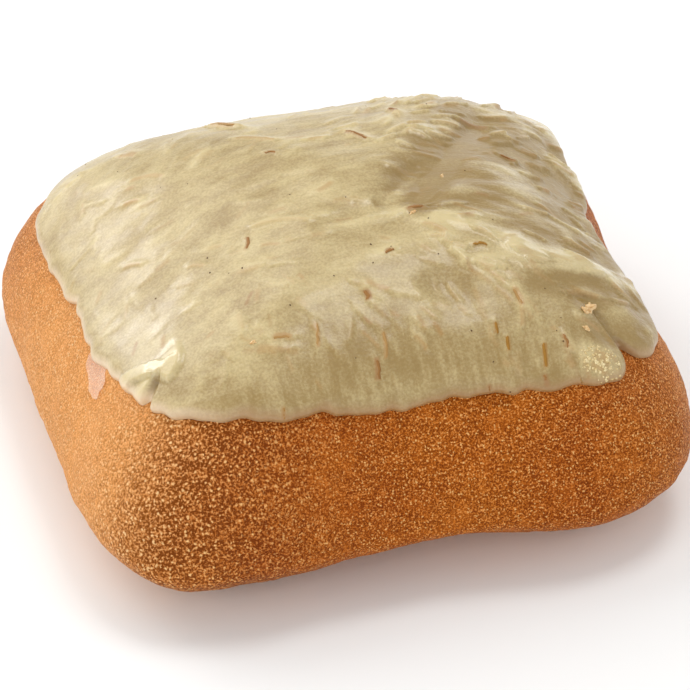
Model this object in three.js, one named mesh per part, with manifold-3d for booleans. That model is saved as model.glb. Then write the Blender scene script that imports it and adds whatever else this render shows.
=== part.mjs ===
// A square cream bun: an uncut pillow of golden baked dough, with a thin coat of pale
// icing over its top and fine shreds set in the icing.
// Millimetres, +Z up. The front faces -Y and directions are in degrees from +X, turning
// towards +Y. The origin is on the table, under the middle of the bun.
import * as THREE from 'three';
import { mergeVertices } from 'three/addons/utils/BufferGeometryUtils.js';
import Module from 'manifold-3d';

const wasm = await Module();
wasm.setup();

// The dough is a squarish pillow, widest at its waist, whose rounded underside the tray has flattened.
const DOUGH_WIDTH = 95;
const DOUGH_DEPTH = 97.4;
const DOUGH_HEIGHT = 44;
const WAIST_HEIGHT = 11.7;
const UNDERSIDE_DROP = 16.8;
const PLAN_SQUARENESS = 4.4;
const DOME_FULLNESS = 1.86;
const UNDERSIDE_FULLNESS = 1.9;
const TRAY_PRESS = 2;
const TRAY_PRESS_HEIGHT = 6;
const HEART = new THREE.Vector3(0.9, -1.7, WAIST_HEIGHT);
const LEAN_PER_HEIGHT = new THREE.Vector2(0.106, 0.011);

// Where it is iced the dough is set in, so that the icing and not the dough makes the outline.
const ICED_INSET = 0.8;
const ICED_FROM_HEIGHT = 17;
const ICED_FULL_HEIGHT = 27;

// Where the outline stands out from a plain rounded square, or is pulled in from it, most at the waist.
const SIDE_SPREAD = 33;
const CORNER_SPREAD = 20;
const SWELLS = [
  { at: 0, by: -2.2, spread: SIDE_SPREAD },
  { at: 45, by: 0.7, spread: CORNER_SPREAD },
  { at: 90, by: 1.2, spread: SIDE_SPREAD },
  { at: 135, by: 1.2, spread: CORNER_SPREAD },
  { at: 180, by: 0.6, spread: SIDE_SPREAD },
  { at: 225, by: 1.1, spread: CORNER_SPREAD },
  { at: 270, by: -4.3, spread: SIDE_SPREAD },
  { at: 315, by: 0.7, spread: CORNER_SPREAD },
];
const SWELL_FADE = 8;
// Below the waist the front is drawn in further between its corners, wholly so at this slope.
const FRONT_TUCK = { at: 270, by: -4.1, spread: SIDE_SPREAD };
const FRONT_TUCK_SLOPE = 0.3;

// Dents in the top, each along a line in plan.
const DENTS = [
  { from: [30, 21], to: [6, -7], deep: 1.1, wide: 3.6 },
  { from: [6, -7], to: [-2, -9], deep: 0.7, wide: 3.2 },
  { from: [10, -25], to: [12, -27], deep: 0.7, wide: 4 },
  { from: [32, -28], to: [35.5, -36], deep: 0.8, wide: 3 },
  { from: [26, 38], to: [36, 33], deep: 1.4, wide: 6 },
];

// The icing is a skin over the top of the dough, thin at its wavy lower edge.
const ICING_GAP = 0.3;
const ICING_THICKNESS = 1.1;
const ICING_EDGE_THICKNESS = 0.4;
const ICING_EDGE_ROUNDNESS = 10;
const ICING_EDGE_HEIGHT = 29.3;
const EDGE_RUNS = [
  { at: 45, by: -4, spread: 30 },
  { at: 95, by: -2, spread: 30 },
  { at: 150, by: -5.2, spread: 36 },
  { at: 188, by: -2, spread: 14 },
  { at: 206, by: -1.6, spread: 12 },
  { at: 236, by: 1.8, spread: 17 },
  { at: 309, by: -1, spread: 6 },
  { at: 328, by: -3.2, spread: 13 },
];
const EDGE_WAVES = [
  { count: 15, by: 0.22, turn: 50 },
  { count: 26, by: 0.15, turn: 140 },
];
const ICING_RIPPLES = [
  { across: 35, length: 14, by: 0.14 },
  { across: 100, length: 11, by: 0.12 },
  { across: 155, length: 8, by: 0.1 },
];

// Shreds half sunk in the icing: those lying level on the top and those run down its slopes.
const SHRED_ROWS = 7;
const SHRED_COLUMNS = 6;
const SHRED_SHORTEST = 2.6;
const SHRED_LONGEST = 6.4;
const SHRED_BREADTH = 1;
const SHRED_RISE = 0.35;
const SHRED_SUNK = 0.1;
const SHRED_FIELD = 0.88;
const SHRED_STRAY = 70;
const SHRED_SEED = 23;

// How finely each skin is divided.
const DOUGH_DIVISIONS = 24;
const DOUGH_SIDE_DIVISIONS = 14;
const ICING_DIVISIONS = 37;
const SHRED_SIDES = 6;
const SHRED_RINGS = 4;
const NORMAL_STEP = 0.01;
const STEEP_SLOPE = 0.7;
const EDGE_SEARCH_STEPS = 20;

const crustFinish = new THREE.MeshStandardMaterial({ color: 0xb87638, roughness: 0.75, metalness: 0 });
const icingFinish = new THREE.MeshStandardMaterial({ color: 0xd5c39a, roughness: 0.35, metalness: 0 });

function bell(distance, spread) {
  return Math.exp(-((distance / spread) ** 2));
}

function turnBetween(first, second) {
  return THREE.MathUtils.euclideanModulo(first - second + 180, 360) - 180;
}

function sumByDirection(features, degrees) {
  return features.reduce((sum, f) => sum + f.by * bell(turnBetween(degrees, f.at), f.spread), 0);
}

function compass(direction) {
  return THREE.MathUtils.radToDeg(Math.atan2(direction.y, direction.x));
}

function directionAt(degrees, lift) {
  const turn = THREE.MathUtils.degToRad(degrees);
  const level = Math.cos(lift);
  return new THREE.Vector3(level * Math.cos(turn), level * Math.sin(turn), Math.sin(lift));
}

function dentAt(x, y) {
  const place = new THREE.Vector3(x, y, 0);
  return DENTS.reduce((deepest, dent) => {
    const line = new THREE.Line3(new THREE.Vector3(...dent.from), new THREE.Vector3(...dent.to));
    const nearest = line.closestPointToPoint(place, true, new THREE.Vector3());
    return Math.max(deepest, dent.deep * bell(nearest.distanceTo(place), dent.wide));
  }, 0);
}

// Distance from the heart to the dough's skin, before the bun leans and the tray flattens it.
function reach(direction) {
  const across = Math.abs(direction.x) / (DOUGH_WIDTH / 2);
  const along = Math.abs(direction.y) / (DOUGH_DEPTH / 2);
  const plan = (across ** PLAN_SQUARENESS + along ** PLAN_SQUARENESS) ** (1 / PLAN_SQUARENESS);
  const above = direction.z >= 0;
  const rise = above ? DOUGH_HEIGHT - WAIST_HEIGHT : UNDERSIDE_DROP;
  const fullness = above ? DOME_FULLNESS : UNDERSIDE_FULLNESS;
  const plain = (plan ** fullness + (Math.abs(direction.z) / rise) ** fullness) ** (-1 / fullness);
  const degrees = compass(direction);
  const tuck = THREE.MathUtils.smoothstep(-direction.z, 0, FRONT_TUCK_SLOPE);
  const swell = sumByDirection(SWELLS, degrees) + tuck * sumByDirection([FRONT_TUCK], degrees);
  return plain + swell * Math.hypot(direction.x, direction.y) ** SWELL_FADE;
}

// Height after baking: what lies low is pressed down towards the tray, and the lowest lies flat on it.
function onTray(height) {
  const low = Math.max(1 - height / TRAY_PRESS_HEIGHT, 0);
  return Math.max(height - TRAY_PRESS * low ** 2, 0);
}

function doughPoint(aim) {
  const direction = aim.clone().normalize();
  const point = direction.clone().multiplyScalar(reach(direction));
  point.x += LEAN_PER_HEIGHT.x * point.z;
  point.y += LEAN_PER_HEIGHT.y * point.z;
  point.add(HEART);
  if (direction.z > 0) {
    const inset = ICED_INSET * THREE.MathUtils.smoothstep(point.z, ICED_FROM_HEIGHT, ICED_FULL_HEIGHT);
    point.addScaledVector(direction, -inset - dentAt(point.x, point.y));
  }
  point.z = onTray(point.z);
  return point;
}

// The skin's outward normal, from how the skin runs along two level steps about a direction.
function doughNormal(direction) {
  const steep = Math.abs(direction.z) > STEEP_SLOPE;
  const helper = steep ? new THREE.Vector3(1, 0, 0) : new THREE.Vector3(0, 0, 1);
  const first = new THREE.Vector3().crossVectors(helper, direction).setLength(NORMAL_STEP);
  const second = new THREE.Vector3().crossVectors(direction, first).setLength(NORMAL_STEP);
  const alongFirst = doughPoint(direction.clone().add(first)).sub(doughPoint(direction.clone().sub(first)));
  const alongSecond = doughPoint(direction.clone().add(second)).sub(doughPoint(direction.clone().sub(second)));
  return alongFirst.cross(alongSecond).normalize();
}

function icingEdgeHeight(degrees) {
  const waves = EDGE_WAVES.reduce((sum, wave) => {
    const phase = THREE.MathUtils.degToRad(wave.count * degrees + wave.turn);
    return sum + wave.by * Math.sin(phase);
  }, 0);
  return ICING_EDGE_HEIGHT + sumByDirection(EDGE_RUNS, degrees) + waves;
}

// Lift above the waist, as an angle, at which the dough's skin reaches the icing's edge height.
function icingEdgeLift(degrees) {
  const height = icingEdgeHeight(degrees);
  let low = 0;
  let high = Math.PI / 2;
  for (let step = 0; step < EDGE_SEARCH_STEPS; step += 1) {
    const middle = (low + high) / 2;
    if (doughPoint(directionAt(degrees, middle)).z < height) {
      low = middle;
    } else {
      high = middle;
    }
  }
  return low;
}

function icingThickness(share, place) {
  const body = Math.sqrt(1 - share ** ICING_EDGE_ROUNDNESS);
  const ripple = ICING_RIPPLES.reduce((sum, wave) => {
    const turn = THREE.MathUtils.degToRad(wave.across);
    const travel = place.x * Math.cos(turn) + place.y * Math.sin(turn);
    return sum + wave.by * Math.sin((2 * Math.PI * travel) / wave.length);
  }, 0);
  return ICING_EDGE_THICKNESS + (ICING_THICKNESS - ICING_EDGE_THICKNESS + ripple) * body;
}

// A place on the icing from its place on a flat square sheet, -1 to 1 each way, draped over the dome.
function icingSpot(u, v) {
  const share = Math.max(Math.abs(u), Math.abs(v));
  const degrees = THREE.MathUtils.radToDeg(Math.atan2(v, u));
  const lift = THREE.MathUtils.lerp(Math.PI / 2, icingEdgeLift(degrees), share);
  const direction = directionAt(degrees, lift);
  const floor = doughPoint(direction);
  const normal = doughNormal(direction);
  const inner = floor.clone().addScaledVector(normal, ICING_GAP);
  const outer = inner.clone().addScaledVector(normal, icingThickness(share, floor));
  return { inner, outer, normal };
}

function mapVertices(geometry, rule) {
  geometry.deleteAttribute('normal');
  geometry.deleteAttribute('uv');
  const merged = mergeVertices(geometry);
  const position = merged.attributes.position;
  for (let k = 0; k < position.count; k += 1) {
    const point = rule(new THREE.Vector3().fromBufferAttribute(position, k));
    position.setXYZ(k, point.x, point.y, point.z);
  }
  return merged;
}

function toSolid(geometry) {
  return new wasm.Manifold(new wasm.Mesh({
    numProp: 3,
    vertProperties: new Float32Array(geometry.attributes.position.array),
    triVerts: new Uint32Array(geometry.index.array),
  }));
}

function toGeometry(solid) {
  const mesh = solid.getMesh();
  const geometry = new THREE.BufferGeometry();
  geometry.setAttribute('position', new THREE.BufferAttribute(new Float32Array(mesh.vertProperties), 3));
  geometry.setIndex(new THREE.BufferAttribute(new Uint32Array(mesh.triVerts), 1));
  geometry.computeVertexNormals();
  return geometry;
}

function doughGeometry() {
  const crate = new THREE.BoxGeometry(
    DOUGH_WIDTH, DOUGH_DEPTH, DOUGH_HEIGHT,
    DOUGH_DIVISIONS, DOUGH_DIVISIONS, DOUGH_SIDE_DIVISIONS,
  );
  return mapVertices(crate, doughPoint);
}

function icingGeometry() {
  const sheet = new THREE.BoxGeometry(2, 2, 2, ICING_DIVISIONS, ICING_DIVISIONS, 1);
  return mapVertices(sheet, (corner) => {
    const spot = icingSpot(corner.x, corner.y);
    return corner.z > 0 ? spot.outer : spot.inner;
  });
}

function seededDraws(seed) {
  const multiplier = 1664525;
  const increment = 1013904223;
  const wrap = 2 ** 32;
  let state = seed;
  return () => {
    state = (Math.imul(state, multiplier) + increment) >>> 0;
    return state / wrap;
  };
}

function shredGeometry(spot, heading, length) {
  const side = new THREE.Vector3().crossVectors(heading, spot.normal).normalize();
  const frame = new THREE.Matrix4().makeBasis(side, heading, new THREE.Vector3().crossVectors(side, heading));
  frame.setPosition(spot.outer.clone().addScaledVector(spot.normal, -SHRED_SUNK));
  const grain = new THREE.SphereGeometry(1, SHRED_SIDES, SHRED_RINGS);
  grain.scale(SHRED_BREADTH / 2, length / 2, SHRED_RISE + SHRED_SUNK);
  return mapVertices(grain, (point) => point.applyMatrix4(frame));
}

// One shred to each cell of a grid over the icing, anywhere in its cell, roughly down the slope.
function scatterShreds() {
  const draw = seededDraws(SHRED_SEED);
  const between = (low, high) => THREE.MathUtils.lerp(low, high, draw());
  return Array.from({ length: SHRED_ROWS * SHRED_COLUMNS }, (_, cell) => {
    const column = (cell % SHRED_COLUMNS) + draw();
    const row = Math.floor(cell / SHRED_COLUMNS) + draw();
    const u = THREE.MathUtils.lerp(-SHRED_FIELD, SHRED_FIELD, column / SHRED_COLUMNS);
    const v = THREE.MathUtils.lerp(-SHRED_FIELD, SHRED_FIELD, row / SHRED_ROWS);
    const spot = icingSpot(u, v);
    const downhill = new THREE.Vector3(0, 0, -1).projectOnPlane(spot.normal).normalize();
    const astray = THREE.MathUtils.degToRad(between(-SHRED_STRAY, SHRED_STRAY));
    const heading = downhill.applyAxisAngle(spot.normal, astray);
    return shredGeometry(spot, heading, between(SHRED_SHORTEST, SHRED_LONGEST));
  });
}

function makeBun() {
  const bun = new THREE.Mesh(doughGeometry(), crustFinish);
  bun.name = 'bun';
  return bun;
}

function makeIcing() {
  const coat = scatterShreds().reduce((solid, shred) => solid.add(toSolid(shred)), toSolid(icingGeometry()));
  const icing = new THREE.Mesh(toGeometry(coat), icingFinish);
  icing.name = 'icing';
  return icing;
}

const group = new THREE.Group();
group.name = 'cream_bun';
group.add(makeBun(), makeIcing());

export default group;
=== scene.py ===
"""A square cream bun in soft studio light: baked crust, a pale icing coat and the shreds set in it.

Sizes in the classes are in millimetres and directions in degrees from +X, turning towards +Y.
Meshes are written in metres.
"""
import logging
import math
from dataclasses import dataclass, field
from enum import Enum
from typing import Callable, NamedTuple

import bpy
import numpy as np
from mathutils import Matrix, Vector
from mathutils.kdtree import KDTree


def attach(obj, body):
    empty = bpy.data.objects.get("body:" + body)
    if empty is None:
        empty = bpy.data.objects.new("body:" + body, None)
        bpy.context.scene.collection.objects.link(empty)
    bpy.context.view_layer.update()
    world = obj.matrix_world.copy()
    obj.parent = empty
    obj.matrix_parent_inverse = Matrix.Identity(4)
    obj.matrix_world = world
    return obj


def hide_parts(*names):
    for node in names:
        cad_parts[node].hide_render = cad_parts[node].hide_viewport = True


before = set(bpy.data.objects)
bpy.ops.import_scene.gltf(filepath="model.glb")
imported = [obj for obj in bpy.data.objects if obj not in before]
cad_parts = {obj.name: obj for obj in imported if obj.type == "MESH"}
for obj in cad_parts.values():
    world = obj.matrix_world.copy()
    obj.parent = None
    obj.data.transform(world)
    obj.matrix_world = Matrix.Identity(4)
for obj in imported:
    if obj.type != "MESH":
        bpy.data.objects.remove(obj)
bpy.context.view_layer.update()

Array = np.ndarray
Piece = bpy.types.Object
Socket = bpy.types.NodeSocket
Pair = tuple[float, float]
Triple = tuple[float, float, float]
Colour = tuple[float, float, float, float]

LOG = logging.getLogger("cream_bun")
MM = 0.001
BODY = "root"
TINY = 1e-9
WAVE_SPREAD = (0.7, 1.4)


def bell(distance: Array, spread: float) -> Array:
    """Smooth bump that is 1 at no distance and fades with the spread."""
    return np.exp(-((distance / spread) ** 2))


def turn_between(first: Array, second: float) -> Array:
    """Signed turn in degrees from the second direction to the first, -180 to 180."""
    return (first - second + 180.0) % 360.0 - 180.0


def smooth_step(value: Array, low: float, high: float) -> Array:
    """Smooth rise from 0 at the low value to 1 at the high one."""
    share = np.clip((value - low) / (high - low), 0.0, 1.0)
    return share * share * (3.0 - 2.0 * share)


def unit(vectors: Array) -> Array:
    """Rows scaled to a length of 1."""
    return vectors / np.linalg.norm(vectors, axis=-1, keepdims=True)


def directions(degrees: Array, lift: Array) -> Array:
    """Unit directions from a turn about Z and a lift above the level.

    Args:
        degrees: Turn about Z in degrees.
        lift: Lift above the level in radians.

    Returns:
        One direction a row.
    """
    turn = np.radians(degrees)
    level = np.cos(lift)
    return np.column_stack([level * np.cos(turn), level * np.sin(turn), np.sin(lift)])


def random_waves(
        places: Array, length: float, seed: int,
        stretch: Triple = (1.0, 1.0, 1.0), count: int = 28) -> Array:
    """Smooth random relief: plane waves of about one length, summed.

    Args:
        places: Places in millimetres, one a row.
        length: Usual length of a wave.
        seed: Seed of the draws.
        stretch: How many times longer the waves are along each axis.
        count: How many waves are summed.

    Returns:
        Relief with a spread of about 1.
    """
    draw = np.random.default_rng(seed)
    headings = unit(draw.normal(size=(count, 3))) / np.array(stretch)
    numbers = headings * (2.0 * math.pi / length) * draw.uniform(*WAVE_SPREAD, size=(count, 1))
    phases = draw.uniform(0.0, 2.0 * math.pi, size=count)
    return np.sin(places @ numbers.T + phases).sum(axis=1) * math.sqrt(2.0 / count)


@dataclass(frozen=True)
class Bulge:
    """Part of an outline that stands out, or is drawn in, about one direction."""

    at: float
    by: float
    spread: float

    def along(self, degrees: Array) -> Array:
        """How far it stands out at each direction."""
        return self.by * bell(turn_between(degrees, self.at), self.spread)


def from_line(plan: Array, start: Array, line: Array) -> tuple[Array, Array]:
    """How places in plan lie to a line.

    Args:
        plan: Places in plan, one a row.
        start: Where the line starts.
        line: From its start to its end.

    Returns:
        The share of the line at which each place is nearest, and the gap from there to the place.
    """
    share = np.clip(((plan - start) @ line) / (line @ line), 0.0, 1.0)
    return share, plan - start - share[:, None] * line


@dataclass(frozen=True)
class Dent:
    """Hollow along a line in plan; raised instead of sunk, it is a ridge."""

    start: Pair
    end: Pair
    deep: float
    wide: float

    def depth_at(self, plan: Array) -> Array:
        """Depth of the hollow under each place.

        Args:
            plan: Places in plan, one a row.

        Returns:
            Depths in millimetres.
        """
        start = np.array(self.start)
        gap = from_line(plan, start, np.array(self.end) - start)[1]
        return self.deep * bell(np.linalg.norm(gap, axis=1), self.wide)


SIDE_SPREAD = 33.0
CORNER_SPREAD = 20.0


@dataclass(frozen=True)
class DoughShape:
    """The dough's skin: a squarish pillow, widest at its waist, flattened below by the tray."""

    width: float = 95.0
    depth: float = 97.4
    height: float = 44.0
    waist: float = 11.7
    underside_drop: float = 16.8
    plan_squareness: float = 4.4
    dome_fullness: float = 1.86
    underside_fullness: float = 1.9
    tray_press: float = 2.0
    tray_press_height: float = 6.0
    heart: Pair = (0.9, -1.7)
    lean: Pair = (0.106, 0.011)
    swell_fade: float = 8.0
    front_tuck_slope: float = 0.3
    front_tuck: Bulge = Bulge(270.0, -4.1, SIDE_SPREAD)
    swells: tuple[Bulge, ...] = (
        Bulge(0.0, -2.2, SIDE_SPREAD), Bulge(45.0, 0.7, CORNER_SPREAD),
        Bulge(90.0, 1.2, SIDE_SPREAD), Bulge(135.0, 1.2, CORNER_SPREAD),
        Bulge(180.0, 0.6, SIDE_SPREAD), Bulge(225.0, 1.1, CORNER_SPREAD),
        Bulge(270.0, -4.3, SIDE_SPREAD), Bulge(315.0, 0.7, CORNER_SPREAD),
    )
    dents: tuple[Dent, ...] = (
        Dent((30.0, 21.0), (6.0, -7.0), 1.1, 3.6),
        Dent((6.0, -7.0), (-2.0, -9.0), 0.7, 3.2),
        Dent((10.0, -25.0), (12.0, -27.0), 0.7, 4.0),
        Dent((32.0, -28.0), (35.5, -36.0), 0.8, 3.0),
        Dent((26.0, 38.0), (36.0, 33.0), 1.4, 6.0),
    )
    iced_inset: float = 0.8
    iced_heights: Pair = (17.0, 27.0)
    normal_step: float = 0.01
    steep_aim: float = 0.7

    def reach(self, aims: Array) -> Array:
        """Distance from the heart to the skin, before the bun leans.

        Args:
            aims: Unit directions, one a row.

        Returns:
            Distances in millimetres.
        """
        across = np.abs(aims[:, 0]) / (self.width / 2.0)
        along = np.abs(aims[:, 1]) / (self.depth / 2.0)
        square = self.plan_squareness
        plan = (across ** square + along ** square) ** (1.0 / square)
        above = aims[:, 2] >= 0.0
        rise = np.where(above, self.height - self.waist, self.underside_drop)
        fullness = np.where(above, self.dome_fullness, self.underside_fullness)
        plain = (plan ** fullness + (np.abs(aims[:, 2]) / rise) ** fullness) ** (-1.0 / fullness)
        degrees = np.degrees(np.arctan2(aims[:, 1], aims[:, 0]))
        swell = sum(bulge.along(degrees) for bulge in self.swells)
        swell += smooth_step(-aims[:, 2], 0.0, self.front_tuck_slope) * self.front_tuck.along(degrees)
        return plain + swell * np.hypot(aims[:, 0], aims[:, 1]) ** self.swell_fade

    def on_tray(self, heights: Array) -> Array:
        """Heights after the tray has pressed the lowest dough flat."""
        low = np.maximum(1.0 - heights / self.tray_press_height, 0.0)
        return np.maximum(heights - self.tray_press * low ** 2, 0.0)

    def points(self, aims: Array) -> Array:
        """Places on the skin.

        Args:
            aims: Directions from the heart, one a row, of any length.

        Returns:
            Places in millimetres, one a row.
        """
        aims = unit(aims)
        spots = aims * self.reach(aims)[:, None]
        spots[:, :2] += spots[:, 2:] * np.array(self.lean)
        spots += np.array([*self.heart, self.waist])
        dent = np.max([hollow.depth_at(spots[:, :2]) for hollow in self.dents], axis=0)
        inset = self.iced_inset * smooth_step(spots[:, 2], *self.iced_heights)
        spots -= aims * np.where(aims[:, 2] > 0.0, dent + inset, 0.0)[:, None]
        spots[:, 2] = self.on_tray(spots[:, 2])
        return spots

    def normals(self, aims: Array) -> Array:
        """Outward normals of the skin.

        Args:
            aims: Directions from the heart, one a row.

        Returns:
            Unit normals, one a row.
        """
        aims = unit(aims)
        steep = np.abs(aims[:, 2:]) > self.steep_aim
        helper = np.where(steep, np.array([[1.0, 0.0, 0.0]]), np.array([[0.0, 0.0, 1.0]]))
        first = unit(np.cross(helper, aims)) * self.normal_step
        second = unit(np.cross(aims, first)) * self.normal_step
        along_first = self.points(aims + first) - self.points(aims - first)
        along_second = self.points(aims + second) - self.points(aims - second)
        return unit(np.cross(along_first, along_second))


@dataclass(frozen=True)
class EdgeWave:
    """One even wave along an edge: how many go round, how high they are and where they start."""

    count: int
    by: float
    turn: float

    def along(self, degrees: Array) -> Array:
        """Height of the wave at each direction."""
        return self.by * np.sin(np.radians(self.count * degrees + self.turn))


@dataclass(frozen=True)
class Ripple:
    """One even swell in the icing's thickness."""

    across: float
    length: float
    by: float

    def along(self, places: Array) -> Array:
        """Height of the swell at each place.

        Args:
            places: Places in millimetres, one a row.

        Returns:
            Heights in millimetres.
        """
        turn = math.radians(self.across)
        travel = places[:, 0] * math.cos(turn) + places[:, 1] * math.sin(turn)
        return self.by * np.sin(2.0 * math.pi * travel / self.length)


class Region(Enum):
    """Part of the coat, by the way it faces."""

    ALL = "all"
    TOP = "top"
    LEFT = "left"
    RIGHT = "right"
    FRONT = "front"


@dataclass(frozen=True)
class Smear:
    """Random unevenness of one length over a region."""

    where: Region
    length: float
    by: float
    seed: int
    stretch: Triple = (1.0, 1.0, 1.0)

    def height_at(self, places: Array) -> Array:
        """Height of the unevenness at each place."""
        return self.by * random_waves(places, self.length, self.seed, self.stretch)


@dataclass(frozen=True)
class Lump:
    """Soft swelling of the icing about one place."""

    at: Triple
    by: float
    spread: float

    def height_at(self, places: Array) -> Array:
        """Height of the swelling at each place."""
        return self.by * bell(np.linalg.norm(places - np.array(self.at), axis=1), self.spread)


@dataclass(frozen=True)
class Fold:
    """Step where one run of icing laps over another: a bent line in plan that fades towards its end."""

    path: tuple[Pair, ...]
    rise: float
    gentle: float
    sharp: float
    fade_from: float = 0.5

    def height_at(self, plan: Array) -> Array:
        """Height of the lap: gentle on the left of its line, sharp on the right.

        Args:
            plan: Places in plan, one a row.

        Returns:
            Heights in millimetres.
        """
        knots = np.array(self.path)
        nearest = np.full(len(plan), np.inf)
        height = np.zeros(len(plan))
        for step, (start, end) in enumerate(zip(knots[:-1], knots[1:])):
            line = end - start
            share, gap = from_line(plan, start, line)
            away = np.linalg.norm(gap, axis=1)
            left = line[0] * gap[:, 1] - line[1] * gap[:, 0] > 0.0
            across = np.where(left, bell(away, self.gentle), bell(away, self.sharp))
            fade = 1.0 - smooth_step((step + share) / (len(knots) - 1), self.fade_from, 1.0)
            height = np.where(away < nearest, self.rise * fade * across, height)
            nearest = np.minimum(nearest, away)
        return height


@dataclass
class Drape:
    """Where a sheet of icing lies: its floor on the dough and what is known there."""

    floor: Array
    normal: Array
    degrees: Array
    rim: Array


@dataclass(frozen=True)
class IcingShape:
    """The icing's coat: how far down it runs, how thick it is and how its edge rounds off."""

    dough: DoughShape = field(default_factory=DoughShape)
    gap: float = 0.3
    thickness: float = 1.1
    edge_height: float = 28.8
    edge_sunk: float = 0.25
    rim_width: float = 1.9
    rim_gather: float = 1.25
    bead_rise: float = 0.14
    bead_inset: float = 1.6
    under_settle: Pair = (0.5, 4.0)
    runs: tuple[Bulge, ...] = (
        Bulge(45.0, -4.0, 30.0), Bulge(95.0, -2.0, 30.0), Bulge(150.0, -5.2, 36.0),
        Bulge(188.0, -2.0, 14.0), Bulge(206.0, -1.6, 12.0), Bulge(236.0, 1.8, 17.0),
        Bulge(264.0, -0.4, 6.0), Bulge(309.0, -1.0, 6.0), Bulge(315.0, 2.0, 1.4),
        Bulge(328.0, -3.2, 13.0), Bulge(159.0, 0.3, 1.2), Bulge(167.0, -0.35, 2.5),
        Bulge(172.0, 0.5, 1.8), Bulge(212.3, 1.0, 1.0), Bulge(13.0, -2.0, 7.0),
        Bulge(146.0, -0.7, 5.0), Bulge(191.0, -0.7, 3.0), Bulge(205.0, 0.4, 7.0),
        Bulge(219.0, -0.3, 4.0), Bulge(239.0, -0.6, 4.0), Bulge(280.0, 0.35, 7.0),
        Bulge(290.5, -0.4, 2.0), Bulge(298.0, -0.4, 2.2),
    )
    waves: tuple[EdgeWave, ...] = (
        EdgeWave(15, 0.12, 50.0), EdgeWave(26, 0.1, 140.0),
        EdgeWave(47, 0.1, 20.0), EdgeWave(71, 0.07, 200.0),
    )
    ripples: tuple[Ripple, ...] = (
        Ripple(35.0, 14.0, 0.08), Ripple(100.0, 11.0, 0.07), Ripple(155.0, 8.0, 0.05),
    )
    smears: tuple[Smear, ...] = (
        Smear(Region.ALL, 12.0, 0.035, 7, (1.8, 1.0, 1.0)),
        Smear(Region.ALL, 3.2, 0.008, 5),
        Smear(Region.TOP, 4.6, 0.022, 3, (2.6, 1.0, 1.0)),
        Smear(Region.TOP, 2.0, 0.01, 9, (4.5, 1.0, 1.0)),
        Smear(Region.RIGHT, 7.0, 0.2, 4, (2.0, 1.0, 1.0)),
        Smear(Region.RIGHT, 3.4, 0.05, 6, (2.6, 1.0, 1.0)),
        Smear(Region.FRONT, 1.7, 0.008, 15, (1.0, 5.0, 5.0)),
    )
    lumps: tuple[Lump, ...] = (
        Lump((42.0, 26.0, 27.0), 0.7, 4.0), Lump((16.4, 0.0, 45.2), 0.5, 2.6),
        Lump((9.9, -9.8, 45.5), 0.5, 2.2), Lump((30.1, -37.6, 31.5), 0.5, 3.2),
    )
    folds: tuple[Fold, ...] = (
        Fold(((-37.6, -25.8), (-36.2, -24.6), (-34.6, -23.6), (-33.6, -23.2)), 0.45, 1.6, 0.35),
        Fold(((-33.9, -24.3), (-33.2, -24.9), (-32.7, -25.9), (-32.0, -25.7), (-30.9, -24.6),
              (-30.1, -22.9), (-30.0, -20.8), (-30.9, -18.6)), 0.9, 7.0, 0.4, 0.65),
    )
    grooves: tuple[Dent, ...] = (
        Dent((36.3, -37.4), (32.0, -29.0), 0.7, 0.5), Dent((27.0, 16.0), (11.0, -8.0), 1.2, 2.4),
        Dent((-36.6, -26.8), (-34.3, -24.4), 0.9, 0.45), Dent((32.5, 8.0), (39.0, 2.3), 0.9, 4.5),
    )
    ridges: tuple[Dent, ...] = (
        Dent((12.9, -12.2), (23.4, -18.2), 0.4, 1.6), Dent((23.4, -18.2), (35.0, -20.5), 0.5, 1.8),
        Dent((-3.7, -10.4), (6.5, -9.9), 0.3, 1.0),
    )
    fold_fade: float = 2.5
    groove_fade: float = 1.5
    flow_lean: float = 0.15
    flow_bend: float = 0.006
    front_slope: Pair = (0.25, 0.6)
    right_slope: Pair = (0.02, 0.35)
    left_slope: Pair = (0.33, 0.65)
    pool: Lump = Lump((-34.4, -19.0, 32.4), 1.0, 8.0)
    pool_calm: float = 0.85
    rim_calm: Pair = (0.6, 3.5)
    left_wet: float = 0.5
    left_dries: Pair = (-12.0, 26.0)
    least_cover: float = 0.75
    shred_back: float = 1.5
    shred_front: float = 0.5
    shred_reach: float = 3.0
    least_half: float = 0.1
    stain_blur: float = 0.2
    table_size: int = 1440
    search_steps: int = 22

    def edge_heights(self, degrees: Array) -> Array:
        """Height of the icing's lower edge at each direction."""
        parts = (*self.runs, *self.waves)
        return self.edge_height + sum(part.along(degrees) for part in parts)

    def edge_lifts(self, degrees: Array) -> Array:
        """Lift at which the dough's skin reaches the edge height.

        Args:
            degrees: Directions to look in.

        Returns:
            Lifts in radians.
        """
        goal = self.edge_heights(degrees)
        low = np.zeros_like(degrees)
        high = np.full_like(degrees, math.pi / 2.0)
        for _ in range(self.search_steps):
            middle = (low + high) / 2.0
            short = self.dough.points(directions(degrees, middle))[:, 2] < goal
            low = np.where(short, middle, low)
            high = np.where(short, high, middle)
        return low

    def drape(self, sheet: Array) -> Drape:
        """Lays a flat square sheet over the dome.

        Args:
            sheet: Places on the sheet, -1 to 1 each way, one a row.

        Returns:
            The floor under each place, its normal, its direction and how far it is from the edge.
        """
        table = np.linspace(-180.0, 180.0, self.table_size + 1)
        lifts = self.edge_lifts(table)
        share = np.abs(sheet).max(axis=1)
        degrees = np.degrees(np.arctan2(sheet[:, 1], sheet[:, 0]))
        edge = np.interp(degrees, table, lifts)
        inward = (1.0 - share) ** self.rim_gather
        lift = edge + (math.pi / 2.0 - edge) * inward
        aims = directions(degrees, lift)
        floor = self.dough.points(aims)
        edge_reach = np.linalg.norm(self.dough.points(directions(table, lifts)), axis=1)
        rim = (lift - edge) * np.interp(degrees, table, edge_reach)
        return Drape(floor, self.dough.normals(aims), degrees, rim)

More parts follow.
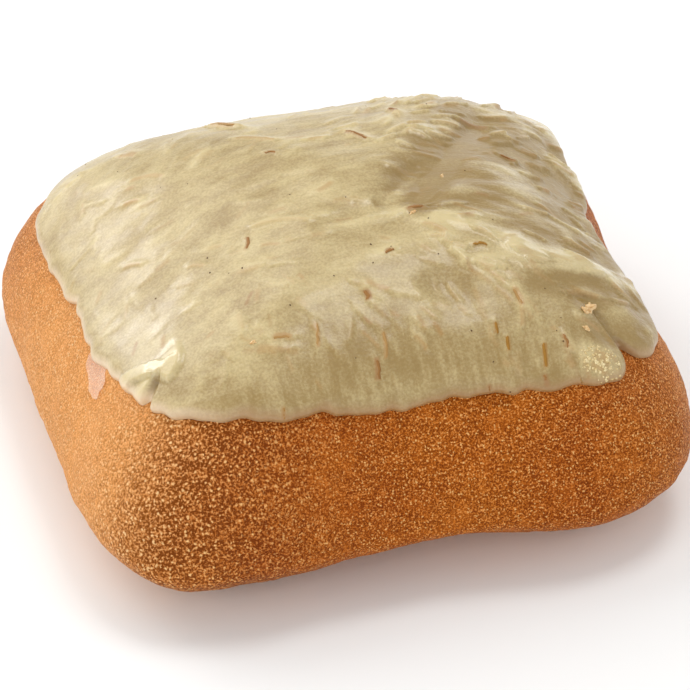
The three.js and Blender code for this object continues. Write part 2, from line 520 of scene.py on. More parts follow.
    def rim_share(self, rim: Array) -> Array:
        """Share of the full thickness at each distance from the edge, rounded as a drop's edge is."""
        inside = 1.0 - np.clip(rim / self.rim_width, 0.0, 1.0)
        return np.sqrt(1.0 - inside ** 2)

    def under(self, drape: Drape) -> Array:
        """Places on the coat's hidden underside, sunk into the crust at the edge.

        Args:
            drape: Where the underside lies.

        Returns:
            Places in millimetres, one a row.
        """
        settle = smooth_step(drape.rim, *self.under_settle)
        offset = -self.edge_sunk + (self.gap + self.edge_sunk) * settle
        return drape.floor + drape.normal * offset[:, None]


class Tone(Enum):
    """Colour family of a shred."""

    TAN = "tan"
    RUST = "rust"
    GOLD = "gold"


@dataclass(frozen=True)
class Shred:
    """One shred under or in the icing, between two places in plan."""

    start: Pair
    end: Pair
    tone: Tone = Tone.TAN
    bare: float = 0.5
    rise: float = 0.32
    breadth: float = 0.7
    bow: float = 0.3


@dataclass(frozen=True)
class Scatter:
    """Shreds drawn over a part of the coat: how many, where on the sheet, and their ranges.

    Bare holds a mean and a spread. Pull is how strongly the slope turns a shred downhill, or along the rim.
    """

    count: int
    across: Pair
    along: Pair
    length: Pair
    breadth: Pair
    rise: Pair
    bare: Pair
    pull: float = 1.6
    wander: float = 0.3
    along_rim: bool = False


@dataclass
class ShredLayout:
    """Where the shreds lie: those that catch the eye, and the rest drawn over the coat by a seed."""

    seed: int = 41
    most_bare: float = 0.6
    bow_spread: float = 0.12
    slope_shortens: float = 0.4
    tones: tuple[Tone, ...] = (Tone.TAN, Tone.TAN, Tone.TAN, Tone.RUST, Tone.GOLD)
    scatters: tuple[Scatter, ...] = (
        Scatter(230, (-0.93, 0.93), (-0.93, 0.93), (1.5, 4.5), (0.5, 0.9), (0.02, 0.16), (0.12, 0.2)),
        Scatter(130, (0.12, 0.95), (-0.6, 0.82), (2.0, 4.5), (0.35, 0.7), (0.12, 0.45), (0.18, 0.25)),
        Scatter(36, (-0.6, 0.95), (0.4, 0.95), (2.0, 4.0), (0.4, 0.7), (0.04, 0.16), (0.1, 0.25)),
        Scatter(26, (-0.97, -0.75), (-0.5, 0.8), (1.5, 4.0), (0.4, 0.7), (0.03, 0.16), (0.1, 0.25),
                pull=2.5, wander=0.5, along_rim=True),
        Scatter(46, (-0.8, 0.9), (-0.95, -0.45), (1.5, 4.0), (0.4, 0.8), (0.01, 0.06), (0.3, 0.25),
                pull=3.0, wander=0.25),
    )
    telling: tuple[Shred, ...] = (
        Shred((-15.7, -6.2), (-16.6, -9.5), Tone.RUST, 0.8, 0.1, 0.6),
        Shred((-14.3, -9.9), (-11.6, -11.0), Tone.TAN, 0.65, 0.1, 0.5),
        Shred((-14.1, -4.8), (-6.7, -8.0), Tone.TAN, 0.3, 0.3, 0.6, 0.8),
        Shred((-27.2, 19.6), (-22.7, 16.6), Tone.TAN, 0.6, 0.25, 0.6, 0.6),
        Shred((-29.7, 15.4), (-27.4, 14.2), Tone.TAN, 0.7, 0.25, 0.7),
        Shred((-26.8, 30.0), (-24.5, 27.5), Tone.TAN, 0.65, 0.2, 1.1),
        Shred((-11.5, 31.0), (-9.0, 26.0), Tone.TAN, 0.78, 0.7, 1.1),
        Shred((-10.8, 19.8), (-5.5, 15.9), Tone.TAN, 0.65, 0.3, 0.7, 0.7),
        Shred((-8.0, 12.0), (-6.5, 11.0), Tone.RUST, 0.85, 0.2, 0.5),
        Shred((-0.8, 13.9), (1.5, 13.4), Tone.TAN, 0.5, 0.3, 0.7),
        Shred((5.5, 14.2), (7.9, 10.6), Tone.RUST, 0.85, 0.35, 0.7),
        Shred((14.6, 22.3), (15.0, 19.5), Tone.RUST, 0.78, 0.6, 0.9),
        Shred((24.5, 17.5), (29.2, 17.0), Tone.RUST, 0.5, 0.6, 0.9),
        Shred((28.2, 6.9), (30.3, 5.9), Tone.RUST, 0.85, 0.4, 0.7),
        Shred((8.3, -9.7), (11.3, -9.1), Tone.RUST, 0.78, 0.4, 1.0),
        Shred((11.0, -14.5), (12.4, -15.7), Tone.TAN, 0.5, 0.35, 0.8),
        Shred((16.0, -18.6), (18.1, -18.9), Tone.GOLD, 0.85, 0.25, 0.6),
        Shred((2.6, -17.7), (4.2, -17.1), Tone.RUST, 0.85, 0.2, 0.6),
        Shred((-2.2, -23.2), (-2.0, -24.8), Tone.RUST, 0.9, 0.15, 1.0),
        Shred((19.9, -26.5), (20.3, -29.6), Tone.TAN, 0.8, 0.25, 0.9, 0.1),
        Shred((20.2, -29.6), (19.6, -32.0), Tone.TAN, 0.5, 0.2, 0.7, 0.1),
        Shred((15.8, -30.8), (15.5, -32.6), Tone.GOLD, 0.8, 0.15, 0.6, 0.1),
        Shred((28.0, -27.0), (33.4, -26.3), Tone.TAN, 0.45, 0.45, 0.8, 0.5),
        Shred((16.9, -33.0), (16.5, -35.0), Tone.GOLD, 0.8, 0.15, 0.6, 0.1),
        Shred((22.2, -34.4), (21.7, -37.6), Tone.GOLD, 1.0, 0.12, 0.7, 0.0),
        Shred((25.4, -33.8), (25.7, -35.6), Tone.RUST, 0.85, 0.15, 0.6, 0.1),
        Shred((-1.0, -29.6), (-1.7, -33.4), Tone.TAN, 0.8, 0.15, 0.6, 0.2),
        Shred((-3.0, -33.0), (-3.6, -35.8), Tone.RUST, 0.78, 0.15, 0.8, 0.1),
        Shred((-10.5, -26.8), (-11.3, -30.4), Tone.TAN, 0.85, 0.1, 0.6, 0.1),
        Shred((-17.5, -27.5), (-14.5, -28.2), Tone.TAN, 0.78, 0.15, 1.0),
        Shred((-32.7, 2.3), (-30.3, 0.2), Tone.TAN, 0.5, 0.25, 0.6),
        Shred((-24.8, -6.3), (-22.7, -8.4), Tone.TAN, 0.5, 0.2, 0.5),
        Shred((12.7, -38.2), (12.9, -39.3), Tone.RUST, 0.8, 0.1, 0.6, 0.0),
        Shred((21.2, -38.4), (21.4, -39.6), Tone.RUST, 0.8, 0.1, 0.7, 0.0),
        Shred((26.3, -38.8), (26.7, -39.8), Tone.TAN, 0.8, 0.1, 0.8, 0.0),
        Shred((-18.3, -37.0), (-18.5, -38.6), Tone.GOLD, 0.8, 0.1, 0.6, 0.0),
        Shred((-21.9, -27.8), (-19.6, -28.7), Tone.RUST, 0.25, 0.0, 0.9, 0.2),
        Shred((-19.9, -28.3), (-17.2, -29.5), Tone.TAN, 0.45, 0.1, 1.4, 0.2),
        Shred((-17.3, -29.1), (-15.4, -29.9), Tone.RUST, 0.45, 0.15, 0.9, -0.2),
        Shred((-15.9, -29.9), (-14.2, -30.7), Tone.TAN, 0.3, 0.0, 1.1, 0.1),
        Shred((28.9, -37.0), (31.3, -37.8), Tone.TAN, 0.55, 0.0, 3.4, 0.0),
    )

    def loose(self, skin: "IcingSkin") -> list[Shred]:
        """Draws the shreds that fill the coat, one scatter after another."""
        draw = np.random.default_rng(self.seed)
        return [self.drop(skin, scatter, draw) for scatter in self.scatters for _ in range(scatter.count)]

    def drop(self, skin: "IcingSkin", scatter: Scatter, draw: np.random.Generator) -> Shred:
        """Draws one shred, lying across the top or turned by the slope under it.

        Args:
            skin: The icing's skin that it lies in.
            scatter: The ranges to draw from.
            draw: Source of the seeded draws.

        Returns:
            The shred.
        """
        place = np.array([draw.uniform(*scatter.across), draw.uniform(*scatter.along)])
        spot, normal = skin.on_sheet(place)
        slope = math.hypot(normal[0], normal[1])
        drawn_to = normal[:2] / max(slope, TINY)
        if scatter.along_rim:
            drawn_to = np.array([drawn_to[1], -drawn_to[0]])
        heading = np.array([1.0, 0.0]) * (1.0 - slope) + drawn_to * slope * scatter.pull
        turn = math.atan2(heading[1], heading[0]) + draw.normal(0.0, scatter.wander)
        step = np.array([math.cos(turn), math.sin(turn)]) * draw.uniform(*scatter.length) / 2.0
        off_line = turn - math.atan2(drawn_to[1], drawn_to[0])
        step *= 1.0 - self.slope_shortens * slope * abs(math.cos(off_line))
        return Shred(
            start=tuple(spot[:2] - step), end=tuple(spot[:2] + step),
            tone=self.tones[draw.integers(len(self.tones))],
            bare=float(np.clip(draw.normal(*scatter.bare), 0.0, self.most_bare)),
            rise=draw.uniform(*scatter.rise), breadth=draw.uniform(*scatter.breadth),
            bow=draw.normal(0.0, self.bow_spread))


class IcingSkin:
    """The icing's outer skin on a fine sheet, raised by ripples, smears, lumps and shreds."""

    def __init__(self, shape: IcingShape, sheet: Array) -> None:
        """Lays the sheet and gives it its even thickness.

        Args:
            shape: The coat's sizes.
            sheet: Places on the flat sheet, -1 to 1 each way, one a row.
        """
        self.shape = shape
        self.sheet = sheet
        self.drape = shape.drape(sheet)
        self.settle = shape.rim_share(self.drape.rim)
        bead = shape.bead_rise * bell(self.drape.rim - shape.bead_inset * shape.rim_width, shape.rim_width)
        left_wet = shape.left_wet * (1.0 - smooth_step(self.drape.floor[:, 1], *shape.left_dries))
        pool = shape.pool.height_at(self.drape.floor)
        self.wet = np.maximum(pool, left_wet * self.weight(Region.LEFT))
        self.calm = smooth_step(self.drape.rim, *shape.rim_calm) * (1.0 - shape.pool_calm * self.wet)
        ripple = sum(part.along(self.drape.floor) for part in shape.ripples)
        height = (shape.gap + shape.thickness + bead + ripple * self.calm) * self.settle
        self.places = self.drape.floor + self.drape.normal * height[:, None]
        self.relief = np.zeros(len(sheet))
        self.stain = {tone: np.zeros(len(sheet)) for tone in Tone}
        self.plan_tree = self.plant(np.column_stack([self.places[:, :2], np.zeros(len(sheet))]))

    @staticmethod
    def plant(places: Array) -> KDTree:
        """Search tree over places.

        Args:
            places: Places, one a row.

        Returns:
            The tree, which finds the nearest place's index.
        """
        tree = KDTree(len(places))
        for index, place in enumerate(places):
            tree.insert(place, index)
        tree.balance()
        return tree

    def on_sheet(self, spot: Array) -> tuple[Array, Array]:
        """Place and normal at the vertex nearest to a place on the sheet."""
        index = int(np.argmin(((self.sheet - spot) ** 2).sum(axis=1)))
        return self.places[index], self.drape.normal[index]

    def on_plan(self, x: float, y: float) -> int:
        """Index of the vertex nearest to a place in plan."""
        return self.plan_tree.find((x, y, 0.0))[1]

    def raise_by(self, heights: Array) -> None:
        """Lifts the skin along its normals."""
        self.places = self.places + self.drape.normal * heights[:, None]
        self.relief = self.relief + heights

    def flow(self) -> Array:
        """Places measured along and across the way the coat was spread, which bends over the top.

        Returns:
            Places in millimetres, one a row.
        """
        along = self.drape.floor.copy()
        along[:, 1] -= self.shape.flow_lean * along[:, 0] - self.shape.flow_bend * along[:, 0] ** 2
        return along

    def weight(self, where: Region) -> Array:
        """How far each place belongs to a region of the coat.

        Args:
            where: The region.

        Returns:
            Shares, 0 to 1.
        """
        normal = self.drape.normal
        front = smooth_step(-normal[:, 1], *self.shape.front_slope)
        right = smooth_step(normal[:, 0], *self.shape.right_slope) * (1.0 - front)
        left = smooth_step(-normal[:, 0], *self.shape.left_slope) * (1.0 - front)
        shares = {
            Region.ALL: np.ones(len(normal)), Region.TOP: (1.0 - front) * (1.0 - left),
            Region.LEFT: left, Region.RIGHT: right, Region.FRONT: front,
        }
        return shares[where]

    def roughen(self) -> None:
        """Adds the smears that a spread coat keeps."""
        flow = self.flow()
        for smear in self.shape.smears:
            self.raise_by(smear.height_at(flow) * self.weight(smear.where) * self.calm)

    def shape_marks(self) -> None:
        """Adds the lumps, folds, grooves and ridges that the coat shows.

        Folds and grooves fade out at the edge.
        """
        fold_share = np.clip(self.shape.fold_fade * self.drape.rim, 0.0, 1.0)
        groove_share = np.clip(self.shape.groove_fade * self.drape.rim, 0.0, 1.0)
        for lump in self.shape.lumps:
            self.raise_by(lump.height_at(self.places))
        for fold in self.shape.folds:
            self.raise_by(fold.height_at(self.places[:, :2]) * fold_share)
        for groove in self.shape.grooves:
            self.raise_by(-groove.depth_at(self.places[:, :2]) * groove_share)
        for ridge in self.shape.ridges:
            self.raise_by(ridge.depth_at(self.places[:, :2]))

    def keep_cover(self) -> None:
        """Lifts the skin wherever a hollow would let the crust through."""
        height = ((self.places - self.drape.floor) * self.drape.normal).sum(axis=1)
        short = np.maximum(self.shape.least_cover * self.settle - height, 0.0)
        self.places = self.places + self.drape.normal * short[:, None]

    def curve(self, shred: Shred, steps: Array) -> tuple[Array, Array]:
        """Places and normals along a shred's bowed line, on the skin.

        Args:
            shred: The shred.
            steps: Shares of its length, 0 to 1.

        Returns:
            Places and normals, one a row.
        """
        start, end = np.array(shred.start), np.array(shred.end)
        line = end - start
        aside = np.array([-line[1], line[0]]) / max(np.linalg.norm(line), TINY)
        bow = 4.0 * steps * (1.0 - steps) * shred.bow
        plan = start + steps[:, None] * line + bow[:, None] * aside
        found = [self.on_plan(x, y) for x, y in plan]
        return self.places[found], self.drape.normal[found]

    def seat(self, x: float, y: float, turn: float) -> tuple[Array, Array]:
        """Where a small thing sits on the skin, and how it is turned there.

        Args:
            x: Place in plan.
            y: Place in plan.
            turn: Turn of its length about the normal, in radians from +X.

        Returns:
            Its place, and its length, breadth and height directions, one a row.
        """
        found = self.on_plan(x, y)
        normal = self.drape.normal[found]
        side = unit(np.cross(normal, np.array([math.cos(turn), math.sin(turn), 0.0])))
        return self.places[found], np.array([np.cross(side, normal), side, normal])

    def bury(self, shred: Shred) -> None:
        """Raises the skin over a shred and lets its colour show through as far as it lies bare.

        Args:
            shred: The shred.
        """
        spots, normals = self.curve(shred, np.array([0.0, 0.5, 1.0]))
        middle = (spots[0] + spots[2]) / 2.0
        heading = spots[2] - spots[0]
        half = max(np.linalg.norm(heading) / 2.0, self.shape.least_half)
        reach = half + self.shape.shred_reach * shred.breadth
        near = np.nonzero(((self.places - middle) ** 2).sum(axis=1) < reach ** 2)[0]
        side = unit(np.cross(normals[1], heading))
        along = (self.places[near] - middle) @ unit(heading)
        bow = shred.bow * (1.0 - np.minimum((along / half) ** 2, 1.0))
        aside = (self.places[near] - middle) @ side - bow
        past_end = np.abs(along) - half
        self.lift_over(shred, near, np.hypot(aside, np.maximum(past_end, 0.0)), aside * side[1] > 0.0)
        self.stain_over(shred, near, np.abs(aside) - shred.breadth / 2.0, past_end)

    def lift_over(self, shred: Shred, near: Array, gap: Array, behind: Array) -> None:
        """Raises the skin over a shred, gently behind it and sharply before it.

        Args:
            shred: The shred.
            near: Indices of the vertices about it.
            gap: Distance of each from the shred's line.
            behind: Which of them lie behind the line.
        """
        reach = shred.breadth * np.where(behind, self.shape.shred_back, self.shape.shred_front)
        height = shred.rise * bell(gap, reach) * self.calm[near]
        self.places[near] += self.drape.normal[near] * height[:, None]
        self.relief[near] += height

    def stain_over(self, shred: Shred, near: Array, past_side: Array, past_end: Array) -> None:
        """Lets a shred's colour show through the skin over it.

        Args:
            shred: The shred.
            near: Indices of the vertices about it.
            past_side: How far each lies past the shred's side; less than 0 is over it.
            past_end: How far each lies past the shred's end; less than 0 is over it.
        """
        blur = self.shape.stain_blur
        inside = 1.0 - smooth_step(past_side, -blur, blur)
        inside *= 1.0 - smooth_step(past_end, -2.0 * blur, blur)
        stain = self.stain[shred.tone]
        stain[near] = np.maximum(stain[near], shred.bare * inside)


def linear(red: int, green: int, blue: int) -> Colour:
    """Shader colour from a screen colour.

    Args:
        red: Red, 0 to 255.
        green: Green, 0 to 255.
        blue: Blue, 0 to 255.

    Returns:
        Linear red, green and blue, and full alpha.
    """
    def straighten(channel: int) -> float:
        """One channel made linear."""
        value = channel / 255.0
        return value / 12.92 if value <= 0.04045 else ((value + 0.055) / 1.055) ** 2.4

    return straighten(red), straighten(green), straighten(blue), 1.0


# Sockets by which Blender's mix node takes and gives colours.
MIX_FIRST = 6
MIX_SECOND = 7
MIX_RESULT = 2


class Shader:
    """Small helper that adds and links the nodes of one material or group."""

    def __init__(self, tree: bpy.types.NodeTree) -> None:
        """Starts with an empty tree."""
        self.tree = tree
        tree.nodes.clear()

    def feed(self, socket: Socket, value: object) -> None:
        """Links a socket to another, or sets its value.

        Args:
            socket: The socket to feed.
            value: The value, or the socket that gives it.
        """
        if isinstance(value, Socket):
            self.tree.links.new(value, socket)
        else:
            socket.default_value = value

    def add(self, kind: str, **inputs: object) -> bpy.types.Node:
        """Adds a node and sets or links its inputs.

        Args:
            kind: Blender's name of the node.
            inputs: Values or sockets by input name, with underscores for spaces.

        Returns:
            The new node.
        """
        node = self.tree.nodes.new(kind)
        for name, value in inputs.items():
            self.feed(node.inputs[name.replace("_", " ")], value)
        return node

    def mix(self, share: object, first: object, second: object, blend: str = "MIX") -> Socket:
        """Mixes two colours.

        Args:
            share: Share of the second colour, a value or a socket.
            first: First colour or socket.
            second: Second colour or socket.
            blend: How they are blended.

        Returns:
            The mixed colour's socket.
        """
        node = self.tree.nodes.new("ShaderNodeMix")
        node.data_type = "RGBA"
        node.blend_type = blend
        self.feed(node.inputs["Factor"], share)
        self.feed(node.inputs[MIX_FIRST], first)
        self.feed(node.inputs[MIX_SECOND], second)
        return node.outputs[MIX_RESULT]

    def combine(self, operation: str, *values: object) -> Socket:
        """Works out one value from several, taking them in turn.

        Args:
            operation: Blender's name of the sum.
            values: Values or sockets.

        Returns:
            The result's socket.
        """
        result = values[0]
        for value in values[1:]:
            node = self.tree.nodes.new("ShaderNodeMath")
            node.operation = operation
            self.feed(node.inputs[0], result)
            self.feed(node.inputs[1], value)
            result = node.outputs[0]
        return result

    def spread(
            self, value: object, low: float, high: float,
            to_low: float = 0.0, to_high: float = 1.0) -> Socket:
        """Maps a range of values onto another, smoothly.

        Args:
            value: The socket to map.
            low: Value that becomes to_low.
            high: Value that becomes to_high.
            to_low: Result at the low value.
            to_high: Result at the high value.

        Returns:
            The mapped value's socket.
        """
        node = self.add("ShaderNodeMapRange", From_Min=low, From_Max=high, To_Min=to_low, To_Max=to_high)
        node.interpolation_type = "SMOOTHSTEP"
        self.feed(node.inputs["Value"], value)
        return node.outputs["Result"]

    def place(self) -> Socket:
        """Place on the piece, in metres."""
        return self.add("ShaderNodeTexCoord").outputs["Object"]

    def attribute(self, name: str) -> Socket:
        """A value kept on the mesh.

        Args:
            name: Name of the attribute.

        Returns:
            The value's socket.
        """
        node = self.add("ShaderNodeAttribute")
        node.attribute_name = name
        return node.outputs["Fac"]

    def group(self, tree: bpy.types.NodeTree, **inputs: object) -> bpy.types.Node:
        """Places a node group.

        Args:
            tree: The group.
            inputs: Values or sockets by input name.

        Returns:
            The group's node.
        """
        node = self.tree.nodes.new("ShaderNodeGroup")
        node.node_tree = tree
        for name, value in inputs.items():
            self.feed(node.inputs[name], value)
        return node

    def blotches(self, size: float, squeeze: Triple = (1.0, 1.0, 1.0)) -> Socket:
        """Mask of soft blotches.

        Args:
            size: Their size in millimetres.
            squeeze: Share of each axis that is kept: less than 1 draws the blotches out along it.

        Returns:
            The mask's socket, 0 to 1.
        """
        place = self.add("ShaderNodeVectorMath", Vector=self.place())
        place.operation = "MULTIPLY"
        self.feed(place.inputs[1], squeeze)
        return self.group(mottle_group(), Vector=place.outputs["Vector"], Size=size).outputs["Mask"]

    def grain(self, size: float) -> bpy.types.Node:
        """Node of a sandy grain of a size in millimetres."""
        return self.group(grain_group(), Vector=self.place(), Size=size)

    def bump(self, height: object, strength: float, distance: float) -> Socket:
        """Normals of a fine relief, from its height, how strongly it shows and its depth in millimetres."""
        node = self.add("ShaderNodeBump", Height=height, Strength=strength, Distance=distance * MM)
        return node.outputs["Normal"]

    def surface(self, **inputs: object) -> None:
        """Ends a material with its surface, whose inputs are named with underscores for spaces."""
        skin = self.add("ShaderNodeBsdfPrincipled", **inputs)
        self.add("ShaderNodeOutputMaterial", Surface=skin.outputs["BSDF"])


def new_material(name: str) -> tuple[bpy.types.Material, Shader]:
    """Empty material, with the shader that fills it.

    Args:
        name: Name of the material.

    Returns:
        The material and its shader.
    """
    material = bpy.data.materials.new(name)
    material.use_nodes = True
    return material, Shader(material.node_tree)


def new_group(name: str, inputs: tuple[str, ...], outputs: tuple[str, ...]) -> bpy.types.NodeTree:
    """Empty shader node group with named sockets; Vector is a place and the rest are values.

    Args:
        name: Name of the group.
        inputs: Names of its inputs.
        outputs: Names of its outputs.

    Returns:
        The group.
    """
    tree = bpy.data.node_groups.new(name, "ShaderNodeTree")
    for socket in inputs:
        kind = "NodeSocketVector" if socket == "Vector" else "NodeSocketFloat"
        tree.interface.new_socket(socket, in_out="INPUT", socket_type=kind)
    for socket in outputs:
        tree.interface.new_socket(socket, in_out="OUTPUT", socket_type="NodeSocketFloat")
    return tree


NOISE_MIDDLE = (0.3, 0.7)


def mottle_group() -> bpy.types.NodeTree:
    """Soft blotches of a chosen size, 0 to 1; built once.

    Returns:
        The group, with Vector and Size in millimetres in and Mask out.
    """
    known = bpy.data.node_groups.get("soft_mottle")
    if known:
        return known
    tree = new_group("soft_mottle", ("Vector", "Size"), ("Mask",))
    shader = Shader(tree)
    source = shader.add("NodeGroupInput").outputs
    scale = shader.combine("DIVIDE", 1.0 / MM, source["Size"])
    noise = shader.add(
        "ShaderNodeTexNoise", Vector=source["Vector"], Scale=scale, Detail=3.0, Roughness=0.55)
    mask = shader.spread(noise.outputs["Fac"], *NOISE_MIDDLE)
    shader.add("NodeGroupOutput", Mask=mask)
    return tree


GRAIN_OUTPUTS = ("Height", "Crest", "Crevice")


@dataclass(frozen=True)
class GrainMix:
    """How sandy grain is put together from a noise and from cells that may hold a granule each."""

    cell_scale: float = 0.7
    granule_edge: Pair = (0.05, 0.6)
    granule_choice: Pair = (0.35, 1.0)
    sand_share: float = 0.6
    granule_share: float = 0.65
    crest: Pair = (0.4, 0.86)
    crevice: Pair = (0.05, 0.5)

    def level(self, shader: Shader, place: object, scale: object) -> Socket:
        """Height of the grain.

        Args:
            shader: The group's shader.
            place: Place on the piece.
            scale: How many grains there are to a metre.

        Returns:
            The height's socket, about 0 to 1.
        """
        noise = shader.add("ShaderNodeTexNoise", Vector=place, Scale=scale, Detail=2.0, Roughness=0.7)
        sand = shader.spread(noise.outputs["Fac"], *NOISE_MIDDLE)
        cell_scale = shader.combine("MULTIPLY", scale, self.cell_scale)
        cells = shader.add("ShaderNodeTexVoronoi", Vector=place, Scale=cell_scale, Randomness=1.0).outputs
        own = shader.add("ShaderNodeSeparateColor", Color=cells["Color"])
        dome = shader.spread(cells["Distance"], *self.granule_edge, 1.0, 0.0)
        chosen = shader.spread(own.outputs["Red"], *self.granule_choice)
        granule = shader.combine("MULTIPLY", dome, chosen, self.granule_share)
        return shader.combine("ADD", shader.combine("MULTIPLY", sand, self.sand_share), granule)


def grain_group() -> bpy.types.NodeTree:
    """Fine sandy grain of a chosen size, with masks for painted glints on its granules and painted shade in
    its crevices; built once.

    Returns:
        The group, with Vector and Size in millimetres in, and Height, Crest and Crevice out, each 0 to 1.
    """
    known = bpy.data.node_groups.get("baked_grain")
    if known:
        return known
    tree = new_group("baked_grain", ("Vector", "Size"), GRAIN_OUTPUTS)
    shader = Shader(tree)
    source = shader.add("NodeGroupInput").outputs
    recipe = GrainMix()
    level = recipe.level(shader, source["Vector"], shader.combine("DIVIDE", 1.0 / MM, source["Size"]))
    # Crest marks the granules' tops, where the crust paints glints and adds gloss; Crevice marks the gaps,
    # where it paints shade.
    crest = shader.spread(level, *recipe.crest)
    crevice = shader.spread(level, *recipe.crevice, 1.0, 0.0)
    shader.add("NodeGroupOutput", Height=level, Crest=crest, Crevice=crevice)
    return tree


@dataclass(frozen=True)
class CrustFinish:
    """Golden-brown baked crust: sandy grain with painted glints and painted crevice shade, deepest at the
    front and paler at the sides, partly from painted light.
    """

    deep: Colour = linear(193, 99, 19)
    golden: Colour = linear(209, 116, 31)
    # Paler colour where the crust is fair and lit: partly a paler bake, partly painted light.
    fair_lit: Colour = linear(246, 171, 99)
    # Colours of the painted glints on the granules, paler where the crust is fair and lit.
    painted_glint: Colour = linear(255, 195, 120)
    painted_glint_fair_lit: Colour = linear(255, 216, 160)
    # Painted shade in the grain's crevices; the coarse corner is darkened with it too.
    crevice_shade: Colour = (0.36, 0.25, 0.06, 1.0)
    crevice_fair_lit_share: float = 0.5
    broad_size: float = 16.0
    patch_size: float = 3.0
    patch_full: float = 0.6
    even_strength: float = 0.8
    grain_size: float = 0.29
    coarse_size: float = 0.39
    # At the coarse corner: gain of the grain's relief and painted glints, and of its painted crevice shade
    # and darkening.
    coarse_strength: float = 1.1
    coarse_crevice_shade: float = 2.0
    coarse_darkening: float = 0.24
    roughness: float = 0.5
    specular: float = 0.08
    glint_share: float = 0.2
    glint_roughness: float = 0.2
    relief: float = 0.3

    def material(self) -> bpy.types.Material:
        """The crust's material.

        Returns:
            A new material.
        """
        material, shader = new_material("baked_crust")
        corner, fair_lit = shader.attribute("coarse"), shader.attribute("fair_and_lit")
        fine, large = shader.grain(self.grain_size).outputs, shader.grain(self.coarse_size).outputs
        grain = {name: shader.mix(corner, fine[name], large[name]) for name in GRAIN_OUTPUTS}
        patch = shader.blotches(self.patch_size)
        strength = shader.spread(patch, 0.0, self.patch_full, self.even_strength, 1.0)
        coarse = shader.spread(corner, 0.0, 1.0, 1.0, self.coarse_strength)
        corner_shade_gain = shader.spread(corner, 0.0, 1.0, 1.0, self.coarse_crevice_shade)
        shown = shader.spread(fair_lit, 0.0, 1.0, 1.0, self.crevice_fair_lit_share)
        # Painted shade in the crevices: deeper at the coarse corner, lighter where the crust is fair and
        # lit.
        shade = shader.combine("MULTIPLY", grain["Crevice"], corner_shade_gain, strength, shown)
        # Painted glints on the granules, stronger at the coarse corner.
        glint = shader.combine("MULTIPLY", grain["Crest"], coarse, strength)
        height = shader.combine("MULTIPLY", grain["Height"], coarse, strength)
        colour = shader.mix(shade, self.baked(shader, fair_lit, corner), self.crevice_shade, "MULTIPLY")
        colour = shader.mix(glint, colour, shader.mix(fair_lit, self.painted_glint, self.painted_glint_fair_lit))
        shader.surface(
            Base_Color=colour, Roughness=self.roughness, Specular_IOR_Level=self.specular,
            Normal=shader.bump(height, 1.0, self.relief),
            Coat_Weight=shader.combine("MULTIPLY", grain["Crest"], self.glint_share),
            Coat_Roughness=self.glint_roughness)
        return material

    def baked(self, shader: Shader, fair_lit: Socket, corner: Socket) -> Socket:
        """The crust's colour before its grain: browned in broad patches, paler where fair and lit, and
        darker at the coarse corner.

        Args:
            shader: The material's shader.
            fair_lit: How pale the crust is, partly from a paler bake and partly from painted light, 0 to 1.
            corner: How far a place belongs to the coarse corner, 0 to 1.

        Returns:
            The colour's socket.
        """
        colour = shader.mix(shader.blotches(self.broad_size), self.deep, self.golden)
        colour = shader.mix(fair_lit, colour, self.fair_lit)
        # Darker colour at the coarse corner.
        darkened = shader.combine("MULTIPLY", corner, self.coarse_darkening)
        return shader.mix(darkened, colour, self.crevice_shade, "MULTIPLY")


SHRED_COLOURS = {
    Tone.TAN: linear(178, 138, 82),
    Tone.RUST: linear(158, 112, 60),
    Tone.GOLD: linear(162, 116, 44),
}


class Streak(NamedTuple):
    """Blotches drawn out the way that the coat was spread: their size, and the share of each axis kept."""

    size: float
    squeeze: Triple


